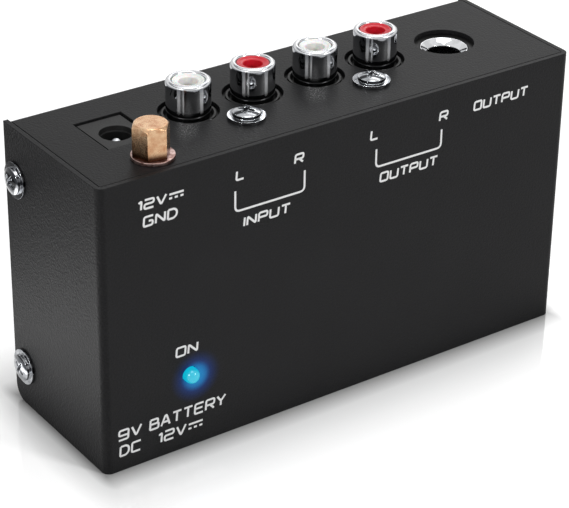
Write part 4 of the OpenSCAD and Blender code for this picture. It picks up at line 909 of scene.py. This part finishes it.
def rounded(points, radius, count=3):
    """The same polyline with each inner corner replaced by a short arc."""
    out = [points[0]]
    for before, corner, after in zip(points, points[1:], points[2:]):
        a, b = before - corner, after - corner
        reach = min(radius, a.length / 2, b.length / 2)
        start, stop = corner + a.normalized() * reach, corner + b.normalized() * reach
        for i in range(count + 1):
            t = i / count
            out.append((1 - t) ** 2 * start + 2 * t * (1 - t) * corner + t ** 2 * stop)
    return out + [points[-1]]


print(len(LETTERS), "letter shapes")

# %% [markdown]
# ## Words and brackets
# A word is given by its left and right ends and its foot, in millimetres from the lower left
# corner of the face, and its letters share that width. The two brackets join a left and a right
# channel to the word below them.

# %% Lay out the words and press them on the face
WORDS = (
    ("12V=", 7.7, 17.4, 51.7, 2.1), ("GND", 8.7, 16.0, 48.3, 2.2), ("L", 27.9, 30.0, 51.9, 2.1),
    ("R", 40.5, 42.8, 51.7, 2.1), ("INPUT", 29.6, 40.0, 42.3, 2.1), ("L", 57.4, 59.5, 51.8, 2.2),
    ("R", 73.4, 75.7, 51.5, 2.1), ("OUTPUT", 59.9, 73.7, 42.6, 2.1),
    ("OUTPUT", 81.6, 95.1, 51.5, 2.1), ("ON", 15.0, 20.0, 19.8, 2.2), ("9V", 2.6, 7.8, 6.4, 2.4),
    ("BATTERY", 9.2, 26.0, 6.3, 2.45), ("DC", 2.8, 7.6, 3.0, 2.4), ("12V=", 11.0, 21.0, 2.9, 2.4))
BRACKETS = ((27.9, 42.9, 50.0, 45.9), (59.0, 74.2, 49.8, 46.1))
CORNER, WIDE_CORNER = 0.35, 1.0
PRESSED = 0.12


def word(text, x_from, x_to, z_foot, height):
    """The strokes of a word as lists of points on the face, in millimetres."""
    widths = [NARROW.get(c, 1.0) for c in text]
    unit = (x_to - x_from - INK_W - SLANT * height) / (sum(widths) + GAP * (len(text) - 1))
    strokes, x = [], x_from + INK_W / 2
    for letter, width in zip(text, widths):
        for stroke in LETTERS[letter]:
            points = [Vector((x + px * unit + SLANT * pz * height,
                              z_foot + INK_W / 2 + pz * (height - INK_W))) for px, pz in stroke]
            strokes.append(rounded(points, CORNER))
        x += (width + GAP) * unit
    return strokes


def bracket(x_from, x_to, z_top, z_foot):
    """A wide U that opens upwards."""
    corners = ((x_from, z_top), (x_from, z_foot), (x_to, z_foot), (x_to, z_top))
    return rounded([Vector(p) for p in corners], WIDE_CORNER, 5)


legend = [stroke for entry in WORDS for stroke in word(*entry)]
legend += [bracket(*entry) for entry in BRACKETS]
bm = bmesh.new()
for stroke in legend:
    mesh = tube([Vector((p.x * MM, p.y * MM, 0)) for p in stroke], INK_W / 2 * MM, False, 1)
    bm.from_mesh(mesh)
    bpy.data.meshes.remove(mesh)
bmesh.ops.scale(bm, verts=bm.verts, vec=(1, 1, PRESSED))
publish(laid_down(bm, (LEFT_X, FACE_Y, 0)), "printed_legends", ink, "case", "steel_coat")
print(len(legend), "strokes printed")

# %% [markdown]
# ## Floor
# The case stands on a white sweep. The floor is a large sheet of paper that is lifted to white for
# the camera by a little light of its own. That light fades in over the first 17 mm before and
# behind the case and over half of that at its ends, which paints the contact shadow there, and the
# paper's colour is darker within 5 mm of the case as painted shadow as well. A round dark patch
# behind the case at the left is painted on the paper for reflections only; it darkens what the
# upper part of the end flap mirrors.

# %% Floor
PAINTED_SHADOW_FADE = 17 * MM
LIFT = 0.4
AT_THE_ENDS = (2.2, 1, 1)
PAINTED_SHADOW_WIDTH = 5 * MM
DARK_REFLECTION_AT, DARK_REFLECTION_FULL_TO, DARK_REFLECTION_ENDS = (-0.127, 0.107, 0), 0.05, 0.075

floor_paint, tree, shader, where = new_material("white_sweep", {
    "Base Color": "#e6e6e6", "Roughness": 0.08, "IOR": 1.5, "Specular IOR Level": 0.8,
    "Emission Strength": 1.0})
mirrored = add(tree, "VectorMath", {"operation": "ABSOLUTE", 0: where})
beyond = add(tree, "VectorMath", {
    "operation": "SUBTRACT", 0: mirrored, 1: (cover_high.x, abs(FACE_Y), 0)})
outside = add(tree, "VectorMath", {"operation": "MAXIMUM", 0: beyond, 1: (0, 0, 0)})
nearer = add(tree, "VectorMath", {"operation": "MULTIPLY", 0: outside, 1: AT_THE_ENDS})
away = add(tree, "VectorMath", {"operation": "LENGTH", 0: nearer}, "Value")
# Painted shadow: the paper's colour darkens within 5 mm of the case.
clear_of_painted_shadow = add(tree, "MapRange", {"Value": away, "From Max": PAINTED_SHADOW_WIDTH})
paper_with_painted_shadow = add(tree, "MixRGB", {"Fac": clear_of_painted_shadow, "Color1": "#9c9c9c", "Color2": "#e6e6e6"})
rays = add(tree, "LightPath").node.outputs
# Painted dark reflection: a round dark patch on the paper that only glossy rays see.
reach = add(tree, "VectorMath", {"operation": "DISTANCE", 0: where, 1: DARK_REFLECTION_AT}, "Value")
painted_dark_reflection = add(tree, "MapRange", {
    "Value": reach, "From Min": DARK_REFLECTION_FULL_TO, "From Max": DARK_REFLECTION_ENDS, "To Min": 1.0,
    "To Max": 0.0})
dark = add(tree, "Math", {"operation": "MULTIPLY", 0: painted_dark_reflection, 1: rays["Is Glossy Ray"]})
sheet = add(tree, "MixRGB", {"Fac": dark, "Color1": paper_with_painted_shadow, "Color2": "#060606"})
either = add(tree, "Math", {
    "operation": "MAXIMUM", 0: rays["Is Camera Ray"], 1: rays["Is Glossy Ray"]})
seen = add(tree, "Math", {"operation": "SUBTRACT", 0: either, 1: dark})
# The lift fades out towards the case, which paints its contact shadow.
lift_past_painted_shadow = add(tree, "MapRange", {"Value": away, "From Max": PAINTED_SHADOW_FADE, "To Max": LIFT})
glow = add(tree, "Math", {"operation": "MULTIPLY", 0: seen, 1: lift_past_painted_shadow})
lift = add(tree, "MixRGB", {"Fac": glow, "Color1": "#000000", "Color2": "#ffffff"})
fill(shader, {"Base Color": sheet, "Emission Color": lift})

bm = bmesh.new()
bmesh.ops.create_grid(bm, x_segments=4, y_segments=4, size=4.0)
floor_mesh = bpy.data.meshes.new("floor")
bm.to_mesh(floor_mesh)
bm.free()
floor_mesh.materials.append(floor_paint)
floor = bpy.data.objects.new("floor", floor_mesh)
bpy.context.scene.collection.objects.link(floor)
print("floor made, contact shadow within", PAINTED_SHADOW_FADE / MM, "mm")

# %% [markdown]
# ## The world
# Beyond the floor there is only the world. It is white where the camera, a gloss or a clear part
# looks at it, and a softer grey where it lights the paint, so that black paint stays black.

# %% World
world = bpy.data.worlds.new("studio")
bpy.context.scene.world = world
world.use_nodes = True
tree = world.node_tree
tree.nodes.clear()
rays = add(tree, "LightPath").node.outputs
sharp = add(tree, "Math", {
    "operation": "MAXIMUM", 0: rays["Is Camera Ray"], 1: rays["Is Glossy Ray"]})
seen = add(tree, "Math", {"operation": "MAXIMUM", 0: sharp, 1: rays["Is Transmission Ray"]})
tone = add(tree, "MixRGB", {"Fac": seen, "Color1": "#9a9a9a", "Color2": "#ffffff"})
sky = add(tree, "Background", {"Strength": 1.0, "Color": tone})
fill(tree.nodes.new("ShaderNodeOutputWorld"), {"Surface": sky})
print("world made")

# %% [markdown]
# ## Lamps
# Five soft boxes light the case as in a small studio. A large one above and behind draws the sheen
# on the jack panel, and a wide one overhead fills the whole scene. One at the right lights the
# labelled face and the nut, and one at the left lights the end flap. A small card of light lies
# beside the flap and shines up, which lifts the flap's lower half.

# %% Five soft boxes
def soft_box(name, spot, size, power, target=aim):
    """A square area lamp at a spot, in metres, aimed at the middle of the case or a target."""
    light = bpy.data.lights.new(name, "AREA")
    light.size = size
    light.energy = power
    lamp = bpy.data.objects.new(name, light)
    bpy.context.scene.collection.objects.link(lamp)
    lamp.location = spot
    lamp.rotation_euler = (target - Vector(spot)).to_track_quat("-Z", "Y").to_euler()


soft_box("top_box", (0.5, 0.45, 0.6), 0.45, 1.4)
soft_box("ceiling_box", (0.0, -0.1, 0.9), 0.5, 2.3)
soft_box("floor_card", (-0.088, 0.022, 0.003), 0.055, 0.016, Vector((-0.088, 0.022, 1.0)))
soft_box("right_strip", (0.3, -0.62, 0.45), 0.14, 2.5)
soft_box("left_strip", (-0.72, -0.22, 0.4), 0.14, 2.2)
print("lamps placed")

# %% [markdown]
# The Standard view shows colours as they are written.

# %% Finish
bpy.context.scene.view_settings.view_transform = "Standard"
